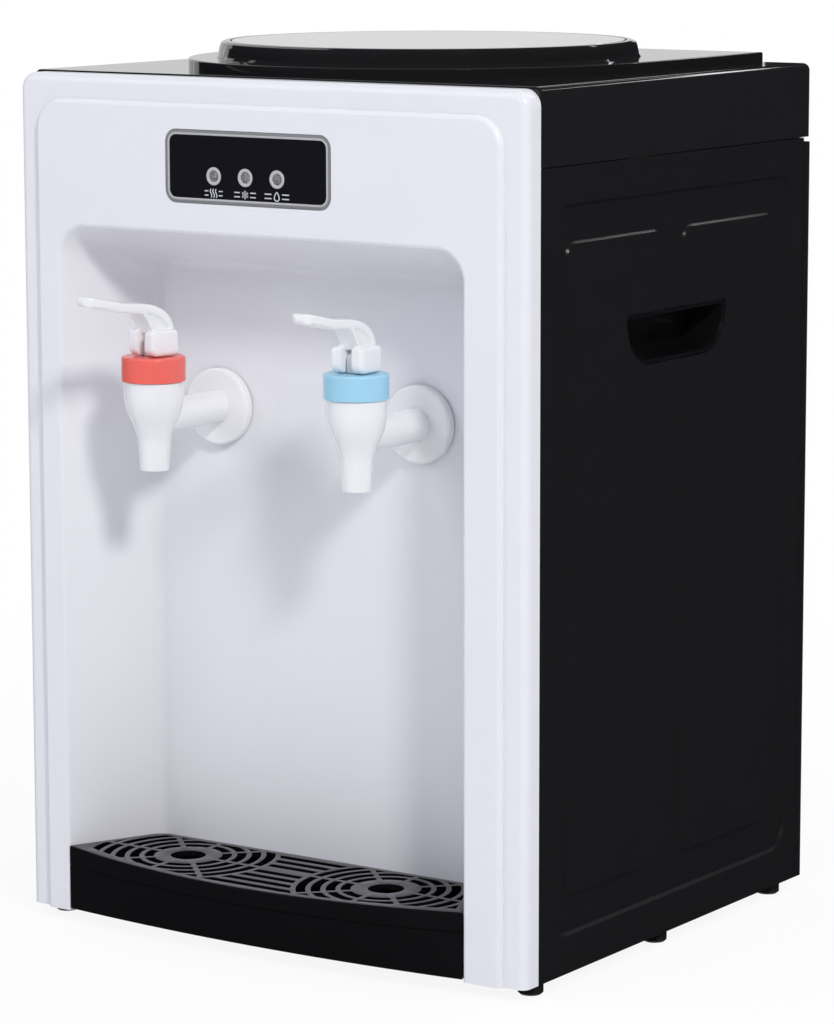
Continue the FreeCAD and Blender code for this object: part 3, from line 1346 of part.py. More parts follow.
def rear_panel():
    top = PARTING_Z - REAR_TOP_GAP
    y0 = BODY_DEPTH - REAR_RETURN
    outer = block(-HALF_WIDTH, HALF_WIDTH, y0, BODY_DEPTH, 0, top)
    rear_limit = BODY_DEPTH - 0.01
    corners = edges_where(outer, lambda b: b.YMin > rear_limit and (b.ZMax - b.ZMin > 1 or b.ZMax < 1))
    outer = outer.makeFillet(CASING_EDGE_R, corners)
    half = HALF_WIDTH - SIDE_WALL
    room = block(-half, half, y0 - 1, REAR_SKIN_Y, -1, top + 1)
    panel = outer.cut(room)
    tools = vent_slots(VENT_Z, VENT_WIDTH, VENT_COUNT)
    tools += vent_slots(LOW_VENT_Z, LOW_VENT_WIDTH, LOW_VENT_COUNT)
    for x in SWITCH_X:
        cutout = upright_outline(
            SWITCH_WIDTH / 2 + 0.2,
            SWITCH_Z - SWITCH_HEIGHT / 2 - 0.2,
            SWITCH_Z + SWITCH_HEIGHT / 2 + 0.2,
            REAR_SKIN_Y - 1,
            0,
            0,
            x,
        )
        tools.append(prism(cutout, V(0, WALL + 2, 0)))
    tools.append(rod(GLAND_R + 0.2, V(GLAND_X, REAR_SKIN_Y - 1, GLAND_Z), Y_AXIS, WALL + 2))
    tools.append(rod(DRAIN_R + 0.2, V(DRAIN_X, REAR_SKIN_Y - 1, DRAIN_Z), Y_AXIS, WALL + 2))
    for sx in (-1, 1):
        for z in SCREW_ROWS:
            tools.append(rod(SCREW_SHANK_R + 0.4, V(sx * screw_x(), REAR_SKIN_Y - 1, z), Y_AXIS, WALL + 2))
    return cut_all(panel, tools)


def rear_screws():
    screws = []
    for sx in (-1, 1):
        for z in SCREW_ROWS:
            seat = V(sx * screw_x(), BODY_DEPTH, z)
            head = rod(SCREW_HEAD_R, seat, Y_AXIS, SCREW_HEAD)
            face = edges_where(head, lambda b: b.YMin > BODY_DEPTH + SCREW_HEAD - 0.01)
            head = head.makeFillet(0.9, face)
            shank = rod(SCREW_SHANK_R, seat - Y_AXIS * SCREW_LENGTH, Y_AXIS, SCREW_LENGTH)
            screw = fused([head, shank])
            cross_y = BODY_DEPTH + SCREW_HEAD
            for long_x, long_z in ((1.9, 0.35), (0.35, 1.9)):
                cross = block(
                    seat.x - long_x,
                    seat.x + long_x,
                    cross_y - 1.1,
                    cross_y + 1,
                    z - long_z,
                    z + long_z,
                )
                screw = screw.cut(cross)
            screws.append(screw)
    return apart(screws)


def base_plate():
    front = WALL + SEAM
    rear = REAR_SKIN_Y - SEAM
    plate = block(-INNER_HALF, INNER_HALF, front, rear, 0, BASE_TOP_Z)
    holes = []
    for x, y in foot_places():
        holes.append(rod(FOOT_PLUG_R + FOOT_PLUG_FIT, V(x, y, -1), Z_AXIS, BASE_THICK + 2))
    vents = []
    for i in range(6):
        x = (i - 2.5) * 16
        vents.append(block(x - 2, x + 2, FRAME_REAR_Y + 12, FRAME_REAR_Y + 42, -1, BASE_THICK + 1))
    return cut_all(plate, holes + vents)


def foot_places():
    return [(sx * FOOT_X, y) for sx in (-1, 1) for y in FOOT_ROWS]


def feet():
    solids = []
    for x, y in foot_places():
        pad = rod(FOOT_R, V(x, y, -FOOT_HEIGHT), Z_AXIS, FOOT_HEIGHT)
        low = edges_where(pad, lambda b: b.ZMax < -FOOT_HEIGHT + 0.01)
        pad = pad.makeChamfer(FOOT_CHAMFER, low)
        plug = rod(FOOT_PLUG_R, V(x, y, -1), Z_AXIS, BASE_THICK + 1)
        solids.append(fused([pad, plug]))
    return apart(solids)


# Rear fittings
def switch_outline(x, inset, y):
    return upright_outline(
        SWITCH_WIDTH / 2 - inset,
        SWITCH_Z - SWITCH_HEIGHT / 2 + inset,
        SWITCH_Z + SWITCH_HEIGHT / 2 - inset,
        y,
        0,
        0,
        x,
    )


def rocker_pivot_y():
    return BODY_DEPTH - 2.0


def switch_housings():
    housings = []
    for x in SWITCH_X:
        box = prism(switch_outline(x, 0, BODY_DEPTH - SWITCH_DEPTH), V(0, SWITCH_DEPTH, 0))
        flange = prism(switch_outline(x, -SWITCH_RIM, BODY_DEPTH), V(0, SWITCH_FLANGE, 0))
        inner = switch_outline(x, SWITCH_WALL, BODY_DEPTH - SWITCH_DEPTH + 2)
        hollow = prism(inner, V(0, SWITCH_DEPTH + 2, 0))
        half = SWITCH_WIDTH / 2 - SWITCH_WALL
        pivots = []
        for side in (-1, 1):
            start = V(x + side * (half + 0.2), rocker_pivot_y(), SWITCH_Z)
            pivots.append(rod(ROCKER_R, start, X_AXIS * -side, 1.6))
        terminals = []
        for dz in (-5, 5):
            y = BODY_DEPTH - SWITCH_DEPTH
            terminals.append(block(x - 2.4, x + 2.4, y - 7, y + 1, SWITCH_Z + dz - 0.4, SWITCH_Z + dz + 0.4))
        housings.append(fused([box.fuse(flange).cut(hollow)] + pivots + terminals))
    return apart(housings)


# A rocker with two wings, pressed in at one end at rest
def switch_rocker(x):
    half = SWITCH_WIDTH / 2 - SWITCH_WALL - 0.3
    pivot = V(x, rocker_pivot_y(), SWITCH_Z)
    wing = ROCKER_WING
    face = pivot.y + ROCKER_THICK
    rise = wing * math.tan(math.radians(ROCKER_TILT))
    left = pivot.x - half
    corners = [
        V(left, pivot.y - ROCKER_THICK, pivot.z - wing),
        V(left, pivot.y - ROCKER_THICK, pivot.z + wing),
        V(left, face + rise, pivot.z + wing),
        V(left, face, pivot.z),
        V(left, face + rise, pivot.z - wing),
    ]
    rocker = prism(rounded_outline(corners, [1.0, 1.0, 0.6, 0, 0.6]), V(2 * half, 0, 0))
    hole = rod(ROCKER_R + PIN_FIT, V(left - 1, pivot.y, pivot.z), X_AXIS, 2 * half + 2)
    rocker = rocker.cut(hole)
    rocker.rotate(pivot, X_AXIS, ROCKER_TILT)
    return rocker


def cord_gland():
    start = V(GLAND_X, REAR_SKIN_Y - GLAND_INSIDE, GLAND_Z)
    length = GLAND_INSIDE + WALL + GLAND_OUTSIDE
    body = rod(GLAND_R, start, Y_AXIS, GLAND_INSIDE + WALL + 1)
    nut = rod(GLAND_FLANGE_R, start, Y_AXIS, GLAND_INSIDE)
    nose = rod(GLAND_FLANGE_R, V(GLAND_X, BODY_DEPTH, GLAND_Z), Y_AXIS, GLAND_OUTSIDE)
    rim = edges_where(nose, lambda b: b.YMin > BODY_DEPTH + GLAND_OUTSIDE - 0.01)
    nose = nose.makeFillet(1.5, rim)
    return fused([body, nut, nose]).cut(rod(GLAND_BORE_R, start - Y_AXIS, Y_AXIS, length + 2))


def drain_outlet():
    start = V(DRAIN_X, REAR_SKIN_Y - DRAIN_INSIDE, DRAIN_Z)
    inside = rod(DRAIN_FLANGE_R - 1, start + Y_AXIS * (DRAIN_INSIDE - 4), Y_AXIS, 4)
    barb = rod(NIPPLE_R + 1, start - Y_AXIS * 10, Y_AXIS, 12)
    body = rod(DRAIN_R, start, Y_AXIS, DRAIN_INSIDE + WALL + DRAIN_FLANGE + DRAIN_STUB)
    flange = rod(DRAIN_FLANGE_R, V(DRAIN_X, BODY_DEPTH, DRAIN_Z), Y_AXIS, DRAIN_FLANGE)
    bore = rod(DRAIN_BORE_R, start + Y_AXIS * 2, Y_AXIS, BODY_DEPTH)
    barb_bore = rod(NIPPLE_BORE_R, start - Y_AXIS * 11, Y_AXIS, 20)
    return fused([inside, barb, body, flange]).cut(bore).cut(barb_bore)


def drain_cap():
    seat_y = BODY_DEPTH + DRAIN_FLANGE + DRAIN_CAP_FIT
    length = DRAIN_STUB + DRAIN_CAP_ROOF
    start = V(DRAIN_X, seat_y, DRAIN_Z)
    cap = rod(DRAIN_CAP_R, start, Y_AXIS, length)
    rim = edges_where(cap, lambda b: b.YMin > seat_y + length - 0.01)
    cap = cap.makeFillet(1.0, rim)
    cap = cap.cut(rod(DRAIN_R + DRAIN_CAP_FIT, start - Y_AXIS, Y_AXIS, DRAIN_STUB + 1))
    for i in range(DRAIN_RIB_COUNT):
        turn = 2 * math.pi * i / DRAIN_RIB_COUNT
        side = V(math.cos(turn) * DRAIN_CAP_R, -1, math.sin(turn) * DRAIN_CAP_R)
        cap = cap.cut(rod(DRAIN_RIB_R, start + side, Y_AXIS, length - 2))
    return cap


# Cold side
def cold_tank():
    centre = V(0, COLLAR_Y, TANK_BOTTOM_Z)
    height = TANK_TOP_Z - TANK_BOTTOM_Z
    tank = rod(TANK_R, centre, Z_AXIS, height)
    edges = edges_where(tank, lambda b: b.ZMax - b.ZMin < 0.01)
    tank = tank.makeFillet(5, edges)
    room = rod(TANK_R - TANK_WALL, centre + Z_AXIS * TANK_WALL, Z_AXIS, height - 2 * TANK_WALL)
    edges = edges_where(room, lambda b: b.ZMax - b.ZMin < 0.01)
    room = room.makeFillet(5 - TANK_WALL, edges)
    mouth_r = THROAT_R + FUNNEL_WALL + TANK_MOUTH_FIT
    mouth = rod(mouth_r, centre + Z_AXIS * (height / 2), Z_AXIS, height)
    places = [V(0, COLLAR_Y, 0), V(COLD_NIPPLE_X, COLD_NIPPLE_Y, 0)]
    tank = tank.cut(room).cut(mouth)
    low = TANK_BOTTOM_Z - NIPPLE_DROP
    for place in places:
        tank = tank.fuse(rod(NIPPLE_R, place + Z_AXIS * low, Z_AXIS, NIPPLE_DROP + TANK_WALL / 2))
    for place in places:
        tank = tank.cut(rod(NIPPLE_BORE_R, place + Z_AXIS * (low - 1), Z_AXIS, NIPPLE_DROP + TANK_WALL + 2))
    return tank


def tank_gasket():
    inner = THROAT_R + FUNNEL_WALL + 0.1
    return tube(inner + 5, inner, V(0, COLLAR_Y, TANK_TOP_Z), Z_AXIS, TANK_GASKET)


def tank_separator():
    centre = V(0, COLLAR_Y, SEPARATOR_Z)
    foot_z = TANK_BOTTOM_Z + TANK_WALL
    plate = rod(SEPARATOR_R, centre, Z_AXIS, SEPARATOR_THICK)
    stem = rod(SEPARATOR_TUBE_R, V(0, COLLAR_Y, foot_z), Z_AXIS, SEPARATOR_Z - foot_z + 0.5)
    bore = rod(NIPPLE_BORE_R + 1, V(0, COLLAR_Y, foot_z - 1), Z_AXIS, SEPARATOR_Z - foot_z + 10)
    ports = []
    for i in range(8):
        turn = 2 * math.pi * i / 8
        reach = SEPARATOR_R - 10
        place = V(reach * math.cos(turn), COLLAR_Y + reach * math.sin(turn), SEPARATOR_Z - 1)
        ports.append(rod(3, place, Z_AXIS, 5))
    return cut_all(fused([plate, stem]), [bore] + ports)


def cooling_block():
    half = MODULE_SIZE / 2
    front = COLLAR_Y + TANK_R - 6
    block_solid = block(-half, half, front, BLOCK_REAR_Y, VENT_Z - half, VENT_Z + half)
    return block_solid.cut(rod(TANK_R + 0.05, V(0, COLLAR_Y, 0), Z_AXIS, BODY_HEIGHT))


def cooling_module():
    half = MODULE_SIZE / 2
    return block(-half, half, BLOCK_REAR_Y, BLOCK_REAR_Y + MODULE_THICK, VENT_Z - half, VENT_Z + half)


def cold_jacket():
    centre = V(0, COLLAR_Y, JACKET_BOTTOM_Z)
    outer = rod(TANK_R + JACKET_THICK, centre, Z_AXIS, TANK_TOP_Z - JACKET_BOTTOM_Z - 8)
    inner = rod(TANK_R + 0.2, V(0, COLLAR_Y, TANK_BOTTOM_Z - 0.2), Z_AXIS, BODY_HEIGHT)
    half = MODULE_SIZE / 2 + 0.5
    window = block(-half, half, COLLAR_Y, BODY_DEPTH, VENT_Z - half, VENT_Z + half)
    nipples = []
    for x, y in ((0, COLLAR_Y), (COLD_NIPPLE_X, COLD_NIPPLE_Y)):
        nipples.append(rod(NIPPLE_R + 0.3, V(x, y, 0), Z_AXIS, BODY_HEIGHT / 1.3))
    return cut_all(outer, [inner, window] + nipples)


def heat_sink():
    half = SINK_SIZE / 2
    y0 = BLOCK_REAR_Y + MODULE_THICK
    base = block(-half, half, y0, y0 + SINK_BASE, VENT_Z - half, VENT_Z + half)
    pitch = (SINK_SIZE - SINK_FIN) / (SINK_FIN_COUNT - 1)
    fins = []
    for i in range(SINK_FIN_COUNT):
        x = -half + i * pitch
        y1 = y0 + SINK_BASE + SINK_FIN_DEPTH
        fins.append(block(x, x + SINK_FIN, y0 + SINK_BASE - 0.5, y1, VENT_Z - half, VENT_Z + half))
    return fused([base] + fins)


def fan_housing():
    half = FAN_SIZE / 2
    outline = upright_outline(half, VENT_Z - half, VENT_Z + half, FAN_FRONT_Y, FAN_CORNER_R, FAN_CORNER_R)
    housing = prism(outline, V(0, FAN_DEPTH, 0))
    axis = V(0, FAN_FRONT_Y, VENT_Z)
    housing = housing.cut(rod(FAN_BORE_R, axis - Y_AXIS, Y_AXIS, FAN_DEPTH + 2))
    back_y = FAN_FRONT_Y + FAN_DEPTH - 2.5
    carrier = [rod(FAN_HUB_R, V(0, back_y, VENT_Z), Y_AXIS, 2.5)]
    for turn in (45, 135):
        strut = block(-FAN_BORE_R - 1, FAN_BORE_R + 1, back_y, back_y + 2.5, -FAN_STRUT / 2, FAN_STRUT / 2)
        strut.rotate(V(0, 0, 0), Y_AXIS, turn)
        strut.translate(V(0, 0, VENT_Z))
        carrier.append(strut)
    pin = rod(FAN_PIN_R, V(0, FAN_FRONT_Y + 3, VENT_Z), Y_AXIS, FAN_DEPTH - 4)
    holes = []
    for sx in (-1, 1):
        for sz in (-1, 1):
            place = V(sx * (half - 5), FAN_FRONT_Y - 1, VENT_Z + sz * (half - 5))
            holes.append(rod(2.1, place, Y_AXIS, FAN_DEPTH + 2))
    return cut_all(fused([housing] + carrier + [pin]), holes)


def fan_rotor():
    front = FAN_FRONT_Y + 1.0
    depth = FAN_DEPTH - 2.5 - 1.0 - 0.6
    hub = rod(FAN_HUB_R - 1, V(0, front, VENT_Z), Y_AXIS, depth)
    tip_r = FAN_BORE_R - FAN_BLADE_GAP
    slab = depth / math.sin(math.radians(FAN_PITCH))
    room = tube(tip_r, FAN_HUB_R - 2, V(0, front + 0.4, VENT_Z), Y_AXIS, depth - 0.8)
    blades = []
    for i in range(FAN_BLADES):
        blade = block(FAN_HUB_R - 2, tip_r + 2, -slab, slab, -FAN_BLADE_THICK / 2, FAN_BLADE_THICK / 2)
        blade.rotate(V(0, 0, 0), X_AXIS, FAN_PITCH)
        blade.rotate(V(0, 0, 0), Y_AXIS, 360.0 / FAN_BLADES * i)
        blade.translate(V(0, front + depth / 2, VENT_Z))
        blades.append(blade.common(room))
    rotor = fused([hub] + blades)
    return rotor.cut(rod(FAN_PIN_R + FAN_PIN_FIT, V(0, front + 2 - 0.2, VENT_Z), Y_AXIS, FAN_DEPTH))


# Inner frame and hot side
def tank_frame():
    shelf_z = JACKET_BOTTOM_Z
    shelf = block(-FRAME_HALF, FRAME_HALF, FRAME_FRONT_Y, FRAME_REAR_Y, shelf_z - SHEET, shelf_z)
    pieces = [shelf]
    for sx in (-1, 1):
        leg = block(FRAME_HALF - SHEET, FRAME_HALF, FRAME_FRONT_Y, FRAME_REAR_Y, BASE_TOP_Z, shelf_z)
        foot_out = FRAME_HALF + FRAME_FOOT
        foot = block(FRAME_HALF - SHEET, foot_out, FRAME_FRONT_Y, FRAME_REAR_Y, BASE_TOP_Z, BASE_TOP_Z + SHEET)
        window_low = POWER_Z + POWER_HEIGHT + 20
        window = block(0, FRAME_HALF * 2, FRAME_FRONT_Y + 25, FRAME_REAR_Y - 25, window_low, shelf_z - 20)
        leg = leg.cut(window)
        if sx < 0:
            leg = mirrored(leg)
            foot = mirrored(foot)
        pieces += [leg, foot]
    frame = fused(pieces)
    tools = []
    for x, y in ((0, COLLAR_Y), (COLD_NIPPLE_X, COLD_NIPPLE_Y)):
        tools.append(rod(NIPPLE_R + HOSE_WALL + 2, V(x, y, shelf_z - 3), Z_AXIS, 6))
    return cut_all(frame, tools)


def hot_tank():
    centre = V(0, HOT_Y, HOT_BOTTOM_Z)
    tank = rod(HOT_R, centre, Z_AXIS, HOT_HEIGHT)
    edges = edges_where(tank, lambda b: b.ZMax - b.ZMin < 0.01)
    tank = tank.makeFillet(4, edges)
    room = rod(HOT_R - HOT_WALL, centre + Z_AXIS * HOT_WALL, Z_AXIS, HOT_HEIGHT - 2 * HOT_WALL)
    edges = edges_where(room, lambda b: b.ZMax - b.ZMin < 0.01)
    room = room.makeFillet(3, edges)
    tank = tank.cut(room)
    top_z = HOT_BOTTOM_Z + HOT_HEIGHT
    nipples = [
        (V(0, COLLAR_Y, top_z - HOT_WALL / 2), 1),
        (V(HOT_OUT_X, HOT_OUT_Y, top_z - HOT_WALL / 2), 1),
        (V(0, HOT_Y, HOT_BOTTOM_Z + HOT_WALL / 2), -1),
    ]
    for place, way in nipples:
        tank = tank.fuse(rod(NIPPLE_R, place, Z_AXIS * way, HOT_NIPPLE))
    for place, way in nipples:
        tank = tank.cut(rod(NIPPLE_BORE_R, place - Z_AXIS * way * 2, Z_AXIS * way, HOT_NIPPLE + 4))
    return tank


def hot_tank_stand():
    half = HOT_STAND_HALF
    top = HOT_BOTTOM_Z
    plate = block(-half, half, HOT_Y - HOT_STAND_DEPTH / 2, HOT_Y + HOT_STAND_DEPTH / 2, top - SHEET, top)
    pieces = [plate]
    for sx in (-1, 1):
        stand_front = HOT_Y - HOT_STAND_DEPTH / 2
        stand_rear = HOT_Y + HOT_STAND_DEPTH / 2
        leg = block(half - SHEET, half, stand_front, stand_rear, BASE_TOP_Z, top)
        foot = block(half - SHEET, half + FRAME_FOOT, stand_front, stand_rear, BASE_TOP_Z, BASE_TOP_Z + SHEET)
        if sx < 0:
            leg = mirrored(leg)
            foot = mirrored(foot)
        pieces += [leg, foot]
    return fused(pieces).cut(rod(NIPPLE_R + HOSE_WALL + 1, V(0, HOT_Y, top - 3), Z_AXIS, 6))


def heater_band():
    start = V(0, HOT_Y, HOT_BOTTOM_Z + HEATER_Z)
    band = tube(HOT_R + 0.1 + HEATER_THICK, HOT_R + 0.1, start, Z_AXIS, HEATER_HEIGHT)
    split = block(-3, 3, 0, HOT_Y, start.z - 1, start.z + HEATER_HEIGHT + 1)
    lugs = []
    for sx in (-1, 1):
        x = sx * 4.5
        lugs.append(
            block(
                x - 1.5,
                x + 1.5,
                HOT_Y - HOT_R - 12,
                HOT_Y - HOT_R,
                start.z + 4,
                start.z + HEATER_HEIGHT - 4,
            )
        )
    band = band.cut(split)
    core = rod(HOT_R + 0.1, start - Z_AXIS, Z_AXIS, HEATER_HEIGHT + 2)
    return fused([band] + [lug.cut(core) for lug in lugs])


def hot_jacket():
    low = HOT_BOTTOM_Z + HEATER_Z + HEATER_HEIGHT + HOT_JACKET_GAP
    high = HOT_BOTTOM_Z + HOT_HEIGHT - 6
    return tube(HOT_R + 0.2 + HOT_JACKET_THICK, HOT_R + 0.2, V(0, HOT_Y, low), Z_AXIS, high - low)


def thermostats():
    solids = []
    top_z = HOT_BOTTOM_Z + HOT_HEIGHT
    for sx in (-1, 1):
        place = V(sx * THERMOSTAT_X, HOT_Y + THERMOSTAT_SHIFT, top_z)
        disc = rod(THERMOSTAT_R, place, Z_AXIS, THERMOSTAT_HEIGHT)
        tabs = []
        for side in (-1, 1):
            half = THERMOSTAT_TAB_WIDTH / 2
            low_y = place.y + side * THERMOSTAT_TAB_PITCH / 2 - THERMOSTAT_TAB / 2
            low_z = place.z + THERMOSTAT_HEIGHT - THERMOSTAT_TAB_ROOT
            high_z = place.z + THERMOSTAT_HEIGHT + THERMOSTAT_TAB_RISE
            tabs.append(block(place.x - half, place.x + half, low_y, low_y + THERMOSTAT_TAB, low_z, high_z))
        solids.append(fused([disc] + tabs))
    return apart(solids)


# A hose of straight runs joined by tangent arcs
def hose(points, outer, inner):
    bends = [0.0]
    for i in range(1, len(points) - 1):
        before = points[i - 1] - points[i]
        after = points[i + 1] - points[i]
        turn = math.pi - before.getAngle(after)
        shorter = min(before.Length, after.Length)
        bends.append(0.45 * shorter / math.tan(turn / 2))
    edges = []
    here = points[0]
    for i in range(1, len(points) - 1):
        corner = points[i]
        before = (points[i - 1] - corner).normalize()
        after = (points[i + 1] - corner).normalize()
        half = before.getAngle(after) / 2
        reach = bends[i] / math.tan(half)
        start = corner + before * reach
        end = corner + after * reach
        inward = (before + after).normalize()
        middle = corner + inward * (bends[i] / math.sin(half) - bends[i])
        edges.append(Part.LineSegment(here, start).toShape())
        edges.append(Part.Arc(start, middle, end).toShape())
        here = end
    edges.append(Part.LineSegment(here, points[-1]).toShape())
    path = Part.Wire(edges)
    way = (points[1] - points[0]).normalize()
    solids = []
    for radius in (outer, inner):
        ring = Part.Wire(Part.makeCircle(radius, points[0], way))
        solids.append(path.makePipeShell([ring], True, False))
    return solids[0].cut(solids[1])


def water_hoses():
    nipple_low = TANK_BOTTOM_Z - NIPPLE_DROP
    tap_y = ALCOVE_BACK_Y + TAP_SHANK
    top_z = HOT_BOTTOM_Z + HOT_HEIGHT
    inner = NIPPLE_R + 0.05
    outer = inner + HOSE_WALL
    tap_inner = TAP_BARB_R + 0.05
    tap_outer = tap_inner + HOSE_WALL
    cold_end = V(TAP_X, tap_y + 2, TAP_PIPE_Z)
    hot_end = V(-TAP_X, tap_y + 2, TAP_PIPE_Z)
    hot_start = V(HOT_OUT_X, HOT_OUT_Y, top_z + 2)
    drain_end = V(DRAIN_X, REAR_SKIN_Y - DRAIN_INSIDE - 9, DRAIN_Z)
    cold = hose(
        [
            cold_end,
            cold_end + V(0, 20, 0),
            V(TAP_X - 4, COLD_NIPPLE_Y + 14, TAP_PIPE_Z - 24),
            V(COLD_NIPPLE_X + 1, COLD_NIPPLE_Y + 4, TAP_PIPE_Z - 32),
            V(COLD_NIPPLE_X, COLD_NIPPLE_Y, TAP_PIPE_Z - 12),
            V(COLD_NIPPLE_X, COLD_NIPPLE_Y, nipple_low + 8),
        ],
        tap_outer,
        tap_inner,
    )
    hot = hose(
        [
            hot_end,
            hot_end + V(0, 22, 0),
            V(HOT_OUT_X - 14, HOT_OUT_Y, TAP_PIPE_Z - 8),
            V(HOT_OUT_X, HOT_OUT_Y, TAP_PIPE_Z - 26),
            hot_start,
        ],
        tap_outer,
        tap_inner,
    )
    feed = tube(outer, inner, V(0, COLLAR_Y, top_z + 2), Z_AXIS, nipple_low + 8 - top_z - 2)
    drain = hose(
        [
            V(0, HOT_Y, HOT_BOTTOM_Z - 2),
            V(0, HOT_Y, DRAIN_Z + 4),
            V(-12, HOT_Y + 34, DRAIN_Z),
            V(-36, (HOT_Y + drain_end.y) / 2 + 10.5, DRAIN_Z),
            V(DRAIN_X, drain_end.y - 20.5, DRAIN_Z),
            drain_end,
        ],
        outer + 1,
        inner + 1,
    )
    return apart([cold, hot, feed, drain])


# Power board on the inner frame's right leg
def power_board():
    x0 = FRAME_HALF + POWER_STANDOFF
    y1 = POWER_Y + POWER_WIDTH
    z1 = POWER_Z + POWER_HEIGHT
    board = block(x0, x0 + BOARD_THICK, POWER_Y, y1, POWER_Z, z1)
    pieces = [board]
    for y in (POWER_Y + 6, y1 - 6):
        for z in (POWER_Z + 6, z1 - 6):
            pieces.append(rod(POWER_STANDOFF_R, V(FRAME_HALF, y, z), X_AXIS, POWER_STANDOFF + 0.5))
    return fused(pieces)


# A component that stands on the board's face, at a place counted from its lower corner
def on_board(place_y, place_z, length_y, length_z, height):
    face = FRAME_HALF + POWER_STANDOFF + BOARD_THICK
    y = POWER_Y + place_y
    z = POWER_Z + place_z
    return block(face, face + height, y, y + length_y, z, z + length_z)


def board_components():
    face = FRAME_HALF + POWER_STANDOFF + BOARD_THICK
    side = TRANSFORMER_SIDE
    transformer = on_board(COMPONENT_EDGE_GAP, COMPONENT_ROW_Z, side, side, TRANSFORMER_HEIGHT)
    relay = on_board(RELAY_PLACE, COMPONENT_ROW_Z, RELAY_LENGTH, RELAY_WIDTH, RELAY_HEIGHT)
    regulator_size = (REGULATOR_THICK, REGULATOR_LENGTH, REGULATOR_HEIGHT)
    regulator = on_board(REGULATOR_PLACE, REGULATOR_PLACE, *regulator_size)
    capacitors = []
    for row in (0, 1):
        for column in (0, 1):
            y = POWER_Y + CAPACITOR_PLACE_Y + column * CAPACITOR_PITCH_Y
            z = POWER_Z + CAPACITOR_PLACE_Z + row * CAPACITOR_PITCH_Z
            capacitors.append(rod(CAPACITOR_R, V(face, y, z), X_AXIS, CAPACITOR_HEIGHT))
    plugs = []
    for i in (0, 1):
        plug_y = PLUG_PLACE_Y + i * PLUG_PITCH
        plugs.append(on_board(plug_y, PLUG_PLACE_Z, PLUG_WIDTH, PLUG_LENGTH, PLUG_RISE))
    return apart([transformer, relay, regulator] + capacitors + plugs)


def all_parts():
    parts = {
        "front_panel": front_panel(),
        "led_bezel": led_bezel(),
        "led_window": led_window(),
        "led_rings": led_rings(),
        "led_lenses": led_lenses(),
        "led_board": led_board(),
        "drip_tray": drip_tray(),
        "drip_grille": drip_grille(),
        "top_cover": top_cover(),
        "bottle_collar": bottle_collar(),
        "dust_cover": dust_cover(),
        "bottle_seat": bottle_seat(),
        "bottle_probe": bottle_probe(),
        "side_panel_right": side_panel(),
        "side_panel_left": mirrored(side_panel()),
        "grip_cups": apart([grip_cup(), mirrored(grip_cup())]),
        "rear_panel": rear_panel(),
        "rear_screws": rear_screws(),
        "base_plate": base_plate(),
        "feet": feet(),
        "switch_housings": switch_housings(),
        "hot_switch": switch_rocker(SWITCH_X[1]),
        "cold_switch": switch_rocker(SWITCH_X[0]),
        "cord_gland": cord_gland(),
        "drain_outlet": drain_outlet(),
        "drain_cap": drain_cap(),
        "cold_tank": cold_tank(),
        "tank_gasket": tank_gasket(),
        "tank_separator": tank_separator(),
        "cold_jacket": cold_jacket(),
        "cooling_block": cooling_block(),
        "cooling_module": cooling_module(),
        "heat_sink": heat_sink(),
        "fan_housing": fan_housing(),
        "fan_rotor": fan_rotor(),
        "tank_frame": tank_frame(),
        "hot_tank": hot_tank(),
        "hot_tank_stand": hot_tank_stand(),
        "heater_band": heater_band(),
        "hot_jacket": hot_jacket(),
        "thermostats": thermostats(),
        "power_board": power_board(),
        "board_components": board_components(),
    }
    parts.update(tap_parts("hot", -1, HOT_YAW))
    parts.update(tap_parts("cold", 1, COLD_YAW))
    parts["tap_gaskets"] = one_for_each_tap(tap_gasket())
    parts["tap_nuts"] = one_for_each_tap(tap_nut())
    parts["water_hoses"] = water_hoses()
    return parts


# The origin is on the floor, under the middle of the whole dispenser's box.
def floor_shift(parts):
    boxes = [shape.optimalBoundingBox(False) for shape in parts.values()]
    front = min(box.YMin for box in boxes)
    rear = max(box.YMax for box in boxes)
    left = min(box.XMin for box in boxes)
    right = max(box.XMax for box in boxes)
    return V(-round((left + right) / 2, 1), -round((front + rear) / 2, 1), FOOT_HEIGHT)


def write_parts():
    os.makedirs("parts", exist_ok=True)
    parts = all_parts()
    shift = floor_shift(parts)
    for name, shape in parts.items():
        shape = shape.copy()
        shape.translate(shift)
        shape.exportStep("parts/" + name + ".step")
    print("nodes", len(parts), "moved by", shift)
    return parts


write_parts()
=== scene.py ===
import bpy
import bmesh
import json
import math
from mathutils import Matrix, Vector


